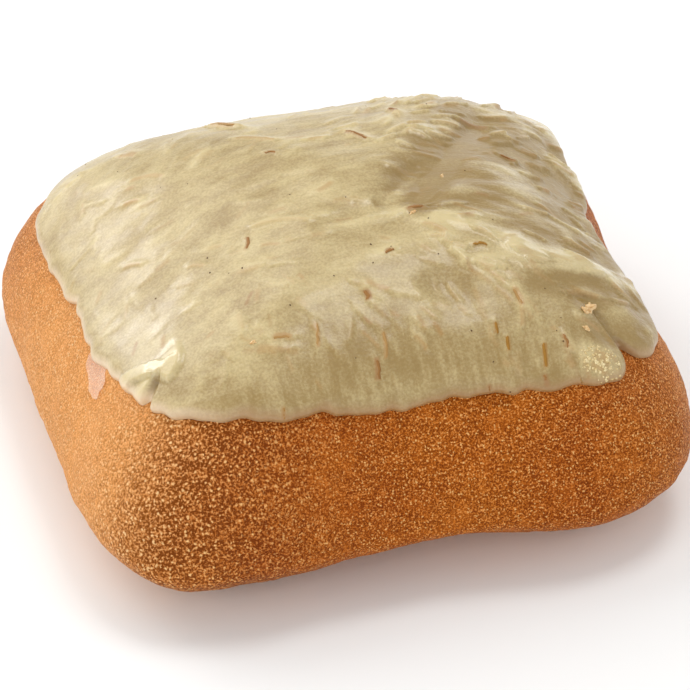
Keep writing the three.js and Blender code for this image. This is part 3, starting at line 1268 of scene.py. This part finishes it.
@dataclass(frozen=True)
class IcingFinish:
    """Pale, slightly olive icing, glossy where wet, with the crust showing through its thin edge; painted
    light pales its crests and painted shade darkens its hollows, front and right.
    """

    # Crests take the pale colour as painted light and hollows the shade colour as painted shade; the
    # mottling mixes both as the icing's own tone.
    pale: Colour = linear(208, 189, 139)
    shade: Colour = linear(152, 125, 71)
    thin: Colour = linear(168, 124, 80)
    # Thin edge where the crust is fair and lit: partly a paler crust beneath, partly painted light.
    thin_fair_lit: Colour = linear(238, 212, 180)
    fine_size: float = 0.4
    blotch_size: float = 6.0
    top_fibre: Streak = Streak(2.4, (0.25, 1.0, 1.0))
    front_fibre: Streak = Streak(0.9, (1.0, 0.15, 0.15))
    streak: Streak = Streak(1.0, (0.25, 1.0, 1.0))
    lap: Streak = Streak(1.2, (0.35, 1.0, 1.0))
    crest_light_share: float = 0.56
    blotch_share: float = 0.12
    fibre_share: float = 0.16
    fine_share: float = 0.16
    paleness: Pair = (0.15, 0.85)
    roughness: Pair = (0.34, 0.48)
    dry_gloss: float = 0.28
    gloss_roughness: float = 0.18
    relief: float = 0.04
    relief_strength: float = 0.6
    fine_relief: float = 0.5
    lap_relief: float = 3.0
    glow_share: float = 0.2
    glow_radius: Triple = (1.0, 0.75, 0.45)
    glow_depth: float = 0.5

    def material(self) -> bpy.types.Material:
        """The icing's material.

        Returns:
            A new material.
        """
        material, shader = new_material("pale_icing")
        fine = shader.blotches(self.fine_size)
        top, front = shader.blotches(*self.top_fibre), shader.blotches(*self.front_fibre)
        fibre = shader.mix(shader.attribute("front"), top, front)
        colour = self.stained(shader, self.mottled(shader, fine, fibre))
        right = shader.attribute("right")
        lap = shader.combine("MULTIPLY", shader.blotches(*self.lap), right, self.lap_relief)
        grit = shader.combine("MULTIPLY", fine, self.fine_relief)
        height = shader.combine("ADD", grit, shader.blotches(*self.streak), lap)
        shader.surface(
            Base_Color=colour, Roughness=shader.spread(fibre, 0.0, 1.0, *self.roughness),
            Normal=shader.bump(height, self.relief_strength, self.relief),
            Coat_Weight=shader.spread(shader.attribute("wet"), 0.0, 1.0, self.dry_gloss, 1.0),
            Coat_Roughness=self.gloss_roughness, Subsurface_Weight=self.glow_share,
            Subsurface_Radius=self.glow_radius, Subsurface_Scale=self.glow_depth * MM)
        return material

    def mottled(self, shader: Shader, fine: Socket, fibre: Socket) -> Socket:
        """The icing's colour: paler on crests with painted light, darker in hollows with painted shade, and
        its own mottling coarse and fine.

        Args:
            shader: The material's shader.
            fine: Fine blotches, 0 to 1.
            fibre: Drawn-out blotches, 0 to 1.

        Returns:
            The colour's socket.
        """
        shares = (
            # Painted light on crests and painted shade in hollows, front and right.
            (shader.attribute("crest"), self.crest_light_share),
            (shader.blotches(self.blotch_size), self.blotch_share),
            (fibre, self.fibre_share),
            (fine, self.fine_share),
        )
        paleness = shader.combine("ADD", *(shader.combine("MULTIPLY", *pair) for pair in shares))
        return shader.mix(shader.spread(paleness, *self.paleness), self.shade, self.pale)

    def stained(self, shader: Shader, colour: Socket) -> Socket:
        """Colour with the shreds showing through, and the crust through the thin edge, paler where the
        crust is fair and lit.

        Args:
            shader: The material's shader.
            colour: The icing's own colour.

        Returns:
            The colour's socket.
        """
        for tone in Tone:
            colour = shader.mix(shader.attribute(f"stain_{tone.value}"), colour, SHRED_COLOURS[tone])
        edge = shader.mix(shader.attribute("fair_and_lit"), self.thin, self.thin_fair_lit)
        return shader.mix(shader.attribute("thin"), colour, edge)


@dataclass(frozen=True)
class ShredFinish:
    """Toasted shred of one tone, darker in blotches and finely rough."""

    tone: Tone
    blotch_size: float = 0.9
    toasted: float = 0.8
    toasted_share: float = 0.6
    roughness: float = 0.4
    specular: float = 0.2
    grain_size: float = 0.3
    relief: float = 0.06
    relief_strength: float = 0.6

    def material(self) -> bpy.types.Material:
        """The shred's material.

        Returns:
            A new material.
        """
        material, shader = new_material(f"shred_{self.tone.value}")
        share = shader.combine("MULTIPLY", shader.blotches(self.blotch_size), self.toasted_share)
        grain = shader.grain(self.grain_size)
        base = SHRED_COLOURS[self.tone]
        toasted = tuple(self.toasted * channel for channel in base[:3]) + (1.0,)
        shader.surface(
            Base_Color=shader.mix(share, base, toasted), Roughness=self.roughness,
            Specular_IOR_Level=self.specular,
            Normal=shader.bump(grain.outputs["Height"], self.relief_strength, self.relief))
        return material


def deselect() -> None:
    """Leaves nothing selected, so that an operator acts on its own piece alone."""
    if bpy.context.mode != "OBJECT":
        bpy.ops.object.mode_set(mode="OBJECT")
    bpy.ops.object.select_all(action="DESELECT")


def new_piece(name: str, maker: Callable[..., object], **sizes: float) -> Piece:
    """Adds one of Blender's simple shapes as a new piece.

    Args:
        name: Name of the piece.
        maker: The operator that adds the shape.
        sizes: The shape's sizes, as the operator names them.

    Returns:
        The piece.
    """
    deselect()
    maker(**sizes)
    piece = bpy.context.object
    piece.name = name
    piece.data.name = name
    return piece


def read_places(piece: Piece) -> Array:
    """A mesh's places as they are stored.

    Args:
        piece: The piece.

    Returns:
        Places, one a row.
    """
    places = np.empty(len(piece.data.vertices) * 3)
    piece.data.vertices.foreach_get("co", places)
    return places.reshape(-1, 3)


def write_places(piece: Piece, places: Array) -> None:
    """Moves a mesh's vertices to places given in millimetres."""
    piece.data.vertices.foreach_set("co", (places * MM).ravel())
    piece.data.update()


def keep_values(piece: Piece, name: str, values: Array) -> None:
    """Keeps one value a vertex on the mesh, zero past the values given.

    Args:
        piece: The piece.
        name: Name of the attribute.
        values: Values for the first vertices.
    """
    whole = np.zeros(len(piece.data.vertices), dtype=np.float32)
    whole[:len(values)] = values
    piece.data.attributes.new(name, "FLOAT", "POINT").data.foreach_set("value", whole)


def finish_piece(piece: Piece, material: bpy.types.Material) -> None:
    """Dresses a piece, shades it smooth and ties it to the bun.

    Args:
        piece: The piece.
        material: Its material.
    """
    deselect()
    piece.select_set(True)
    bpy.context.view_layer.objects.active = piece
    bpy.ops.object.shade_smooth()
    piece.data.materials.clear()
    piece.data.materials.append(material)
    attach(piece, BODY)
    LOG.info("%s: %d faces", piece.name, len(piece.data.polygons))


def stamp(pattern: Piece, copies: list[Array]) -> None:
    """Turns a pattern into one piece made of reshaped copies of it.

    Args:
        pattern: The piece to copy.
        copies: Places of each copy's vertices, in millimetres.
    """
    faces = [tuple(face.vertices) for face in pattern.data.polygons]
    size = len(pattern.data.vertices)
    joined = []
    for order in range(len(copies)):
        joined += [[corner + size * order for corner in face] for face in faces]
    pattern.data.clear_geometry()
    pattern.data.from_pydata((np.vstack(copies) * MM).tolist(), [], joined)
    pattern.data.update()


# Where the crust is painted paler: partly a paler bake, partly painted light on the lit left, on the other
# sides and near the floor.
FAIR_LIT_SIDES = (
    Bulge(337.0, 0.45, 22.0), Bulge(90.0, 0.5, 45.0), Bulge(178.0, 1.0, 38.0), Bulge(212.0, 0.6, 15.0),
)
FAIR_LIT_LOW_SHARE = 0.4
FAIR_LIT_LOW_HEIGHT = 10.0
# Front-left corner where raking light shows the grain: coarser grain and relief, stronger painted glints
# and painted shade, and a darker colour.
COARSE_CORNER = Bulge(227.0, 1.0, 20.0)


def heading_of(dough: DoughShape, places: Array) -> Array:
    """Direction in plan from the dough's heart to each place, in degrees."""
    return np.degrees(np.arctan2(places[:, 1] - dough.heart[1], places[:, 0] - dough.heart[0]))


def fair_and_lit(dough: DoughShape, places: Array) -> Array:
    """How pale the crust is, partly from a paler bake and partly from painted light: most at the lit left,
    some at the other sides and along the tray.

    Args:
        dough: The dough.
        places: Places on it, one a row.

    Returns:
        Shares, 0 to 1.
    """
    degrees = heading_of(dough, places)
    sides = sum(side.along(degrees) for side in FAIR_LIT_SIDES)
    low = FAIR_LIT_LOW_SHARE * (1.0 - smooth_step(places[:, 2], 0.0, FAIR_LIT_LOW_HEIGHT))
    return np.clip(sides + low, 0.0, 1.0)


@dataclass
class BunCrust:
    """The dough's baked crust, fine enough to carry the soft unevenness of its skin."""

    shape: DoughShape = field(default_factory=DoughShape)
    finish: CrustFinish = field(default_factory=CrustFinish)
    cuts: int = 110
    uneven: tuple[Smear, ...] = (
        Smear(Region.ALL, 17.0, 0.16, 11),
        Smear(Region.ALL, 6.5, 0.06, 12),
        Smear(Region.ALL, 2.6, 0.035, 13),
    )
    base_calm: float = 2.0

    def build(self) -> None:
        """Moulds a divided cube onto the dough's skin and dresses it."""
        crust = new_piece("bun_crust", bpy.ops.mesh.primitive_cube_add, size=2.0)
        bpy.ops.object.mode_set(mode="EDIT")
        bpy.ops.mesh.select_all(action="SELECT")
        bpy.ops.mesh.subdivide(number_cuts=self.cuts)
        bpy.ops.object.mode_set(mode="OBJECT")
        box = np.array([self.shape.width, self.shape.depth, self.shape.height]) / 2.0
        aims = np.tan(read_places(crust) * math.pi / 4.0) * box
        places = self.shape.points(aims)
        relief = sum(part.height_at(places) for part in self.uneven)
        calm = smooth_step(places[:, 2], 0.0, self.base_calm)
        write_places(crust, places + self.shape.normals(aims) * (relief * calm)[:, None])
        keep_values(crust, "fair_and_lit", fair_and_lit(self.shape, places))
        keep_values(crust, "coarse", COARSE_CORNER.along(heading_of(self.shape, places)))
        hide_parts("bun")
        finish_piece(crust, self.finish.material())


@dataclass
class IcingCoat:
    """The icing: a fine outer skin, a coarse underside and the rounded edge that joins them."""

    shape: IcingShape = field(default_factory=IcingShape)
    layout: ShredLayout = field(default_factory=ShredLayout)
    finish: IcingFinish = field(default_factory=IcingFinish)
    outer_divisions: int = 300
    under_divisions: int = 60
    thin_width: float = 1.1
    thin_share: float = 0.7
    relief_range: Pair = (-0.45, 0.45)
    # Painted shade on the front and right: relief taken off before crests and hollows are coloured.
    shaded_regions: tuple[tuple[Region, float], ...] = ((Region.RIGHT, 0.28), (Region.FRONT, 0.2))
    right_wet: float = 0.9

    def build(self) -> tuple[IcingSkin, list[Shred]]:
        """Makes the coat and dresses it.

        Returns:
            The coat's outer skin and the shreds in it.
        """
        coat = self.sheet("icing_coat", self.outer_divisions)
        skin = IcingSkin(self.shape, read_places(coat)[:, :2])
        skin.roughen()
        skin.shape_marks()
        shreds = [*self.layout.telling, *self.layout.loose(skin)]
        for shred in shreds:
            skin.bury(shred)
        skin.keep_cover()
        write_places(coat, skin.places)
        under = self.sheet("icing_under", self.under_divisions)
        write_places(under, self.shape.under(self.shape.drape(read_places(under)[:, :2])))
        self.close(coat, under)
        self.mark(coat, skin)
        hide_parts("icing")
        finish_piece(coat, self.finish.material())
        return skin, shreds

    def mark(self, coat: Piece, skin: IcingSkin) -> None:
        """Keeps on the mesh what its finish goes by.

        Args:
            coat: The coat.
            skin: Its outer skin.
        """
        right = skin.weight(Region.RIGHT)
        # Painted shade: the front and right count as lower, so they take the hollows' darker colour.
        shaded_relief = skin.relief - sum(by * skin.weight(where) for where, by in self.shaded_regions)
        crest = smooth_step(shaded_relief, *self.relief_range)
        values = {f"stain_{tone.value}": stain for tone, stain in skin.stain.items()}
        values["thin"] = self.thin_share * bell(skin.drape.rim, self.thin_width)
        values["fair_and_lit"] = fair_and_lit(self.shape.dough, skin.places)
        values["front"] = skin.weight(Region.FRONT)
        values["right"] = right
        values["crest"] = crest
        values["wet"] = np.maximum(skin.wet, self.right_wet * crest * right)
        for name, value in values.items():
            keep_values(coat, name, value)

    @staticmethod
    def sheet(name: str, divisions: int) -> Piece:
        """Flat square sheet, -1 to 1 each way, to be draped, with so many faces each way."""
        maker = bpy.ops.mesh.primitive_grid_add
        return new_piece(name, maker, x_subdivisions=divisions, y_subdivisions=divisions, size=2.0)

    @staticmethod
    def close(outer: Piece, under: Piece) -> None:
        """Joins the underside to the outer skin along their edges; the outer skin's vertices stay first.

        Args:
            outer: The outer skin, which becomes the closed coat.
            under: The underside.
        """
        deselect()
        under.select_set(True)
        outer.select_set(True)
        bpy.context.view_layer.objects.active = outer
        bpy.ops.object.join()
        bpy.ops.object.mode_set(mode="EDIT")
        bpy.ops.mesh.select_mode(type="EDGE")
        bpy.ops.mesh.select_all(action="DESELECT")
        bpy.ops.mesh.select_non_manifold()
        bpy.ops.mesh.bridge_edge_loops()
        bpy.ops.mesh.select_all(action="SELECT")
        bpy.ops.mesh.normals_make_consistent(inside=False)
        bpy.ops.object.mode_set(mode="OBJECT")


@dataclass
class ShredStrips:
    """The shreds that lie bare: thin blunt strips, each bent to the icing that holds it."""

    least_bare: float = 0.75
    sides: int = 6
    rings: int = 8
    thickness_share: float = 0.35
    proud: float = 0.05
    deepest: float = 0.12
    knots: int = 9
    bluntness: int = 6
    width_draw: Pair = (0.7, 1.0)
    sink_draw: Pair = (0.6, 1.4)
    seed: int = 77

    def build(self, skin: IcingSkin, shreds: list[Shred]) -> None:
        """Makes one piece for each tone.

        Args:
            skin: The icing's finished outer skin.
            shreds: All the shreds.
        """
        draw = np.random.default_rng(self.seed)
        bare = [shred for shred in shreds if shred.bare >= self.least_bare]
        for tone in Tone:
            self.join(skin, [shred for shred in bare if shred.tone is tone], tone, draw)

    def join(self, skin: IcingSkin, shreds: list[Shred], tone: Tone, draw: np.random.Generator) -> None:
        """Makes the strips of one tone as one piece.

        Args:
            skin: The icing's finished outer skin.
            shreds: The shreds of this tone that lie bare.
            tone: The tone.
            draw: Source of the seeded draws.
        """
        name, maker = f"shreds_{tone.value}", bpy.ops.mesh.primitive_uv_sphere_add
        pattern = new_piece(name, maker, segments=self.sides, ring_count=self.rings, radius=1.0)
        blank = read_places(pattern)
        stamp(pattern, [self.lay(skin, shred, blank, draw) for shred in shreds])
        finish_piece(pattern, ShredFinish(tone).material())

    def lay(self, skin: IcingSkin, shred: Shred, blank: Array, draw: np.random.Generator) -> Array:
        """Bends the blank strip along a shred's line.

        Args:
            skin: The icing's finished outer skin.
            shred: The shred.
            blank: Places on a ball of radius 1 whose poles are the strip's ends.
            draw: Source of the seeded draws.

        Returns:
            Places on the strip in millimetres.
        """
        knots = np.linspace(0.0, 1.0, self.knots)
        line, normals = skin.curve(shred, knots)
        steps = (blank[:, 2] + 1.0) / 2.0
        centre = np.column_stack([np.interp(steps, knots, line[:, axis]) for axis in range(3)])
        normal = unit(np.column_stack([np.interp(steps, knots, normals[:, axis]) for axis in range(3)]))
        side = unit(np.cross(unit(line[-1] - line[0]), normal))
        blunt = np.sqrt((1.0 - blank[:, 2] ** self.bluntness + TINY) / (1.0 - blank[:, 2] ** 2 + TINY))
        width = shred.breadth / 2.0 * draw.uniform(*self.width_draw)
        thickness = width * self.thickness_share
        sunk = self.deepest * (1.0 - shred.bare) * draw.uniform(*self.sink_draw, 2)
        depth = np.interp(steps, (0.0, 1.0), sunk) + thickness - self.proud
        aside = blank[:, 0] * width * blunt
        rise = blank[:, 1] * thickness * blunt - depth
        return centre + side * aside[:, None] + normal * rise[:, None]


@dataclass(frozen=True)
class SmallFinish:
    """Finish of one small kind of thing on the icing: two colours in blotches and a gloss."""

    name: str
    main: Colour
    other: Colour
    blotch_size: float
    roughness: float
    alpha: float = 1.0
    coat: float = 0.4
    coat_roughness: float = 0.1
    relief: float = 0.06
    relief_strength: float = 0.5

    def material(self) -> bpy.types.Material:
        """The material of this kind.

        Returns:
            A new material.
        """
        material, shader = new_material(self.name)
        blotch = shader.blotches(self.blotch_size)
        shader.surface(
            Base_Color=shader.mix(blotch, self.main, self.other), Roughness=self.roughness,
            Normal=shader.bump(blotch, self.relief_strength, self.relief), Alpha=self.alpha,
            Coat_Weight=self.coat, Coat_Roughness=self.coat_roughness)
        return material


def ball(name: str, subdivisions: int) -> Piece:
    """Ball of radius 1, to be shaped into a small thing."""
    return new_piece(name, bpy.ops.mesh.primitive_ico_sphere_add, subdivisions=subdivisions, radius=1.0)


@dataclass
class DarkSpecks:
    """Tiny burnt specks in the icing: some at known places in plan, the rest drawn by a seed."""

    known: tuple[Pair, ...] = (
        (-21.9, -6.8), (-22.5, -10.3), (-20.4, 11.9), (-13.4, -23.2), (-5.8, -20.0),
        (8.5, -10.5), (10.8, -12.3), (24.8, -26.5), (24.7, -33.1), (15.7, -39.4),
    )
    loose_count: int = 26
    reach: Pair = (34.0, 36.0)
    size_draw: Pair = (0.08, 0.17)
    ratio: Triple = (1.3, 0.9, 0.6)
    seed: int = 5
    finish: SmallFinish = SmallFinish(
        "burnt_speck", linear(104, 72, 24), linear(66, 44, 12), blotch_size=0.2, roughness=0.7, coat=0.0)

    def build(self, skin: IcingSkin) -> None:
        """Makes the specks as one piece.

        Args:
            skin: The icing's finished outer skin.
        """
        draw = np.random.default_rng(self.seed)
        specks = ball("dark_specks", subdivisions=1)
        blank = read_places(specks)
        loose = draw.uniform(-1.0, 1.0, (self.loose_count, 2)) * np.array(self.reach)
        copies = []
        for x, y in [*self.known, *loose]:
            spot, axes = skin.seat(x, y, draw.uniform(0.0, math.pi))
            size = draw.uniform(*self.size_draw) * np.array(self.ratio)
            copies.append(spot + (blank * size) @ axes)
        stamp(specks, copies)
        finish_piece(specks, self.finish.material())


@dataclass
class FoamPatch:
    """Small bubbles that froth up near the icing's front right corner, smaller towards the patch's edge."""

    centre: Pair = (30.1, -37.4)
    radius: float = 3.3
    flatness: float = 0.7
    crowding: float = 0.6
    bubbles: int = 130
    size_draw: Pair = (0.15, 0.36)
    edge_shrink: float = 0.4
    sunk: float = 0.25
    seed: int = 9
    finish: SmallFinish = SmallFinish(
        "icing_foam", linear(234, 216, 166), linear(200, 172, 112), blotch_size=0.6, roughness=0.2)

    def build(self, skin: IcingSkin) -> None:
        """Makes the bubbles as one piece.

        Args:
            skin: The icing's finished outer skin.
        """
        draw = np.random.default_rng(self.seed)
        foam = ball("foam_bubbles", subdivisions=2)
        blank = read_places(foam) - np.array([0.0, 0.0, self.sunk])
        copies = []
        for _ in range(self.bubbles):
            turn = draw.uniform(0.0, 2.0 * math.pi)
            away = self.radius * draw.uniform(0.0, 1.0) ** self.crowding
            x = self.centre[0] + away * math.cos(turn)
            y = self.centre[1] + away * math.sin(turn) * self.flatness
            spot, axes = skin.seat(x, y, turn)
            size = draw.uniform(*self.size_draw) * (1.0 - self.edge_shrink * away / self.radius)
            copies.append(spot + (blank * size) @ axes)
        stamp(foam, copies)
        finish_piece(foam, self.finish.material())


@dataclass(frozen=True)
class Crumb:
    """One golden crumb: where it lies in plan, its size and its turn."""

    at: Pair
    size: Triple
    turn: float


@dataclass
class GoldenCrumbs:
    """Crumbs of toasted crust stuck to the icing."""

    crumbs: tuple[Crumb, ...] = (
        Crumb((31.0, -28.9), (1.15, 0.75, 0.6), 0.9), Crumb((30.2, -29.7), (0.7, 0.5, 0.45), 0.2),
        Crumb((29.5, -32.6), (0.5, 0.35, 0.2), 2.6), Crumb((16.6, -0.4), (0.4, 0.3, 0.18), 1.1),
        Crumb((9.0, -10.4), (0.5, 0.35, 0.2), 0.5), Crumb((-20.2, -27.0), (0.4, 0.3, 0.2), 0.0),
    )
    crag_height: float = 0.28
    crag_length: float = 1.1
    first_seed: int = 60
    finish: SmallFinish = SmallFinish(
        "golden_crumb", linear(236, 204, 150), linear(206, 156, 88), blotch_size=0.5, roughness=0.35)

    def build(self, skin: IcingSkin) -> None:
        """Makes the crumbs as one piece.

        Args:
            skin: The icing's finished outer skin.
        """
        piece = ball("golden_crumbs", subdivisions=3)
        blank = read_places(piece)
        copies = []
        for seed, crumb in enumerate(self.crumbs, self.first_seed):
            spot, axes = skin.seat(*crumb.at, crumb.turn)
            crags = 1.0 + self.crag_height * random_waves(blank, self.crag_length, seed)
            copies.append(spot + (blank * crags[:, None] * np.array(crumb.size)) @ axes)
        stamp(piece, copies)
        finish_piece(piece, self.finish.material())


@dataclass
class FilmScrap:
    """Thin see-through scrap of icing that ran onto the left of the crust."""

    upper: Triple = (-40.5, -6.6, 25.7)
    lower: Triple = (-41.9, -15.8, 23.7)
    breadth: float = 3.8
    thickness: float = 0.14
    middle_share: float = 0.6
    half_share: float = 0.5
    clear: float = 0.1
    squareness: float = 3.0
    ragged: tuple[EdgeWave, ...] = (
        EdgeWave(3, 0.09, 40.1), EdgeWave(7, 0.06, 0.0), EdgeWave(13, 0.04, 0.0),
    )
    finish: SmallFinish = SmallFinish(
        "icing_film", linear(255, 216, 190), linear(255, 232, 212), blotch_size=1.6, roughness=0.25,
        alpha=0.2, coat=0.2)

    def build(self, dough: DoughShape) -> None:
        """Makes the scrap, lying on the crust.

        Args:
            dough: The dough under it.
        """
        scrap = ball("film_scrap", subdivisions=4)
        blank = read_places(scrap)
        heart = np.array([*dough.heart, dough.waist])
        aims = self.plan(blank, heart) - heart
        aims[:, :2] -= aims[:, 2:] * np.array(dough.lean)
        lift = self.thickness * (self.middle_share + blank[:, 2:] * self.half_share) + self.clear
        write_places(scrap, dough.points(aims) + dough.normals(aims) * lift)
        finish_piece(scrap, self.finish.material())

    def plan(self, blank: Array, heart: Array) -> Array:
        """Lays the ball out flat as a ragged oblong, before it is pressed onto the crust.

        Args:
            blank: Places on a ball of radius 1.
            heart: The dough's heart, which the oblong faces away from.

        Returns:
            Places in millimetres, one a row.
        """
        upper, lower = np.array(self.upper), np.array(self.lower)
        middle, half = (upper + lower) / 2.0, (lower - upper) / 2.0
        across = unit(np.cross(half, unit(middle - heart))) * self.breadth / 2.0
        turn = np.arctan2(blank[:, 1], blank[:, 0])
        square = np.abs(np.cos(turn)) ** self.squareness + np.abs(np.sin(turn)) ** self.squareness
        outline = square ** (-1.0 / self.squareness)
        outline += sum(wave.along(np.degrees(turn)) for wave in self.ragged)
        return middle + blank[:, :1] * outline[:, None] * half + blank[:, 1:2] * outline[:, None] * across


@dataclass(frozen=True)
class Lamp:
    """One soft lamp: where it stands, its size and its power."""

    name: str
    toward: Triple
    away: float
    size: Pair
    power: float

    def place(self, aim: Vector) -> None:
        """Sets the lamp up, facing the bun.

        Args:
            aim: What it faces.
        """
        light = bpy.data.lights.new(self.name, "AREA")
        light.shape = "RECTANGLE"
        light.size, light.size_y = self.size
        light.energy = self.power
        lamp = bpy.data.objects.new(self.name, light)
        bpy.context.scene.collection.objects.link(lamp)
        heading = Vector(self.toward).normalized()
        lamp.location = aim + heading * self.away
        lamp.rotation_euler = heading.to_track_quat("Z", "Y").to_euler()


@dataclass
class Studio:
    """Pale floor, soft light and the camera at the photograph's angle."""

    turn: float = 15.64
    lift: float = 36.8
    away: float = 0.8
    lens: float = 272.0
    sensor: float = 36.0
    heart: Triple = (0.9, -1.7, 19.8)
    frame_drop: float = 4.45
    near: float = 0.01
    surround: float = 0.56
    floor_size: float = 6.0
    floor_tints: tuple[Colour, Colour] = (linear(250, 250, 249), linear(246, 246, 245))
    floor_mottle: float = 400.0
    floor_roughness: float = 0.9
    lamps: tuple[Lamp, ...] = (
        Lamp("key_lamp", (-0.45, 0.6, 0.66), 1.1, (1.0, 0.75), 1.6),
        Lamp("low_lamp", (-0.5, 0.81, 0.29), 1.1, (0.55, 0.4), 1.25),
        Lamp("spot_lamp", (-0.43, 0.84, 0.33), 1.1, (0.24, 0.22), 0.75),
        Lamp("back_lamp", (-0.26, 0.56, 0.79), 1.2, (0.8, 0.6), 2.4),
        Lamp("top_lamp", (0.26, 0.14, 0.955), 1.2, (0.4, 0.4), 3.3),
        Lamp("rim_lamp", (0.64, 0.75, 0.16), 1.1, (1.1, 0.3), 1.0),
        Lamp("front_fill", (-0.1, -0.85, 0.52), 1.2, (0.9, 0.9), 2.5),
        Lamp("left_fill", (-0.9, -0.34, 0.28), 1.2, (0.9, 0.9), 4.5),
        Lamp("right_fill", (0.88, -0.3, 0.36), 1.2, (0.9, 0.9), 1.3),
    )

    def build(self) -> None:
        """Sets the whole studio up."""
        self.set_view()
        self.lay_floor()
        self.light()
        self.place_camera()

    @staticmethod
    def set_view() -> None:
        """Shows colours as they are, with no film curve."""
        bpy.context.scene.view_settings.view_transform = "Standard"

    def lay_floor(self) -> None:
        """Lays the pale floor."""
        floor = new_piece("floor", bpy.ops.mesh.primitive_plane_add, size=self.floor_size)
        material, shader = new_material("pale_floor")
        tint = shader.blotches(self.floor_mottle)
        shader.surface(Base_Color=shader.mix(tint, *self.floor_tints), Roughness=self.floor_roughness)
        floor.data.materials.append(material)

    def light(self) -> None:
        """Lights the bun from a white surround and the soft lamps."""
        world = bpy.data.worlds.new("white_surround")
        bpy.context.scene.world = world
        world.use_nodes = True
        sky = world.node_tree.nodes["Background"]
        sky.inputs["Color"].default_value = (1.0, 1.0, 1.0, 1.0)
        sky.inputs["Strength"].default_value = self.surround
        for lamp in self.lamps:
            lamp.place(Vector(self.heart) * MM)

    def place_camera(self) -> None:
        """Places the camera at the photograph's angle and framing."""
        turn, lift = math.radians(self.turn), math.radians(self.lift)
        right = Vector((math.cos(turn), -math.sin(turn), 0.0))
        up = Vector((math.sin(turn) * math.sin(lift), math.cos(turn) * math.sin(lift), math.cos(lift)))
        back = right.cross(up)
        lens = bpy.data.cameras.new("camera")
        lens.lens = self.lens
        lens.sensor_width = self.sensor
        lens.clip_start = self.near
        camera = bpy.data.objects.new("camera", lens)
        bpy.context.scene.collection.objects.link(camera)
        spot = Vector(self.heart) * MM + back * self.away - up * self.frame_drop * MM
        turned = Matrix((right, up, back)).transposed().to_4x4()
        camera.matrix_world = Matrix.Translation(spot) @ turned
        bpy.context.scene.camera = camera


def write_sizes() -> None:
    """Brings the scene up to date."""
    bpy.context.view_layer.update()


def main() -> None:
    """Builds the bun piece by piece, and then the studio."""
    logging.basicConfig(level=logging.INFO, format="%(message)s")
    BunCrust().build()
    skin, shreds = IcingCoat().build()
    ShredStrips().build(skin, shreds)
    DarkSpecks().build(skin)
    FoamPatch().build(skin)
    GoldenCrumbs().build(skin)
    FilmScrap().build(DoughShape())
    Studio().build()
    write_sizes()


if __name__ == "__main__":
    main()
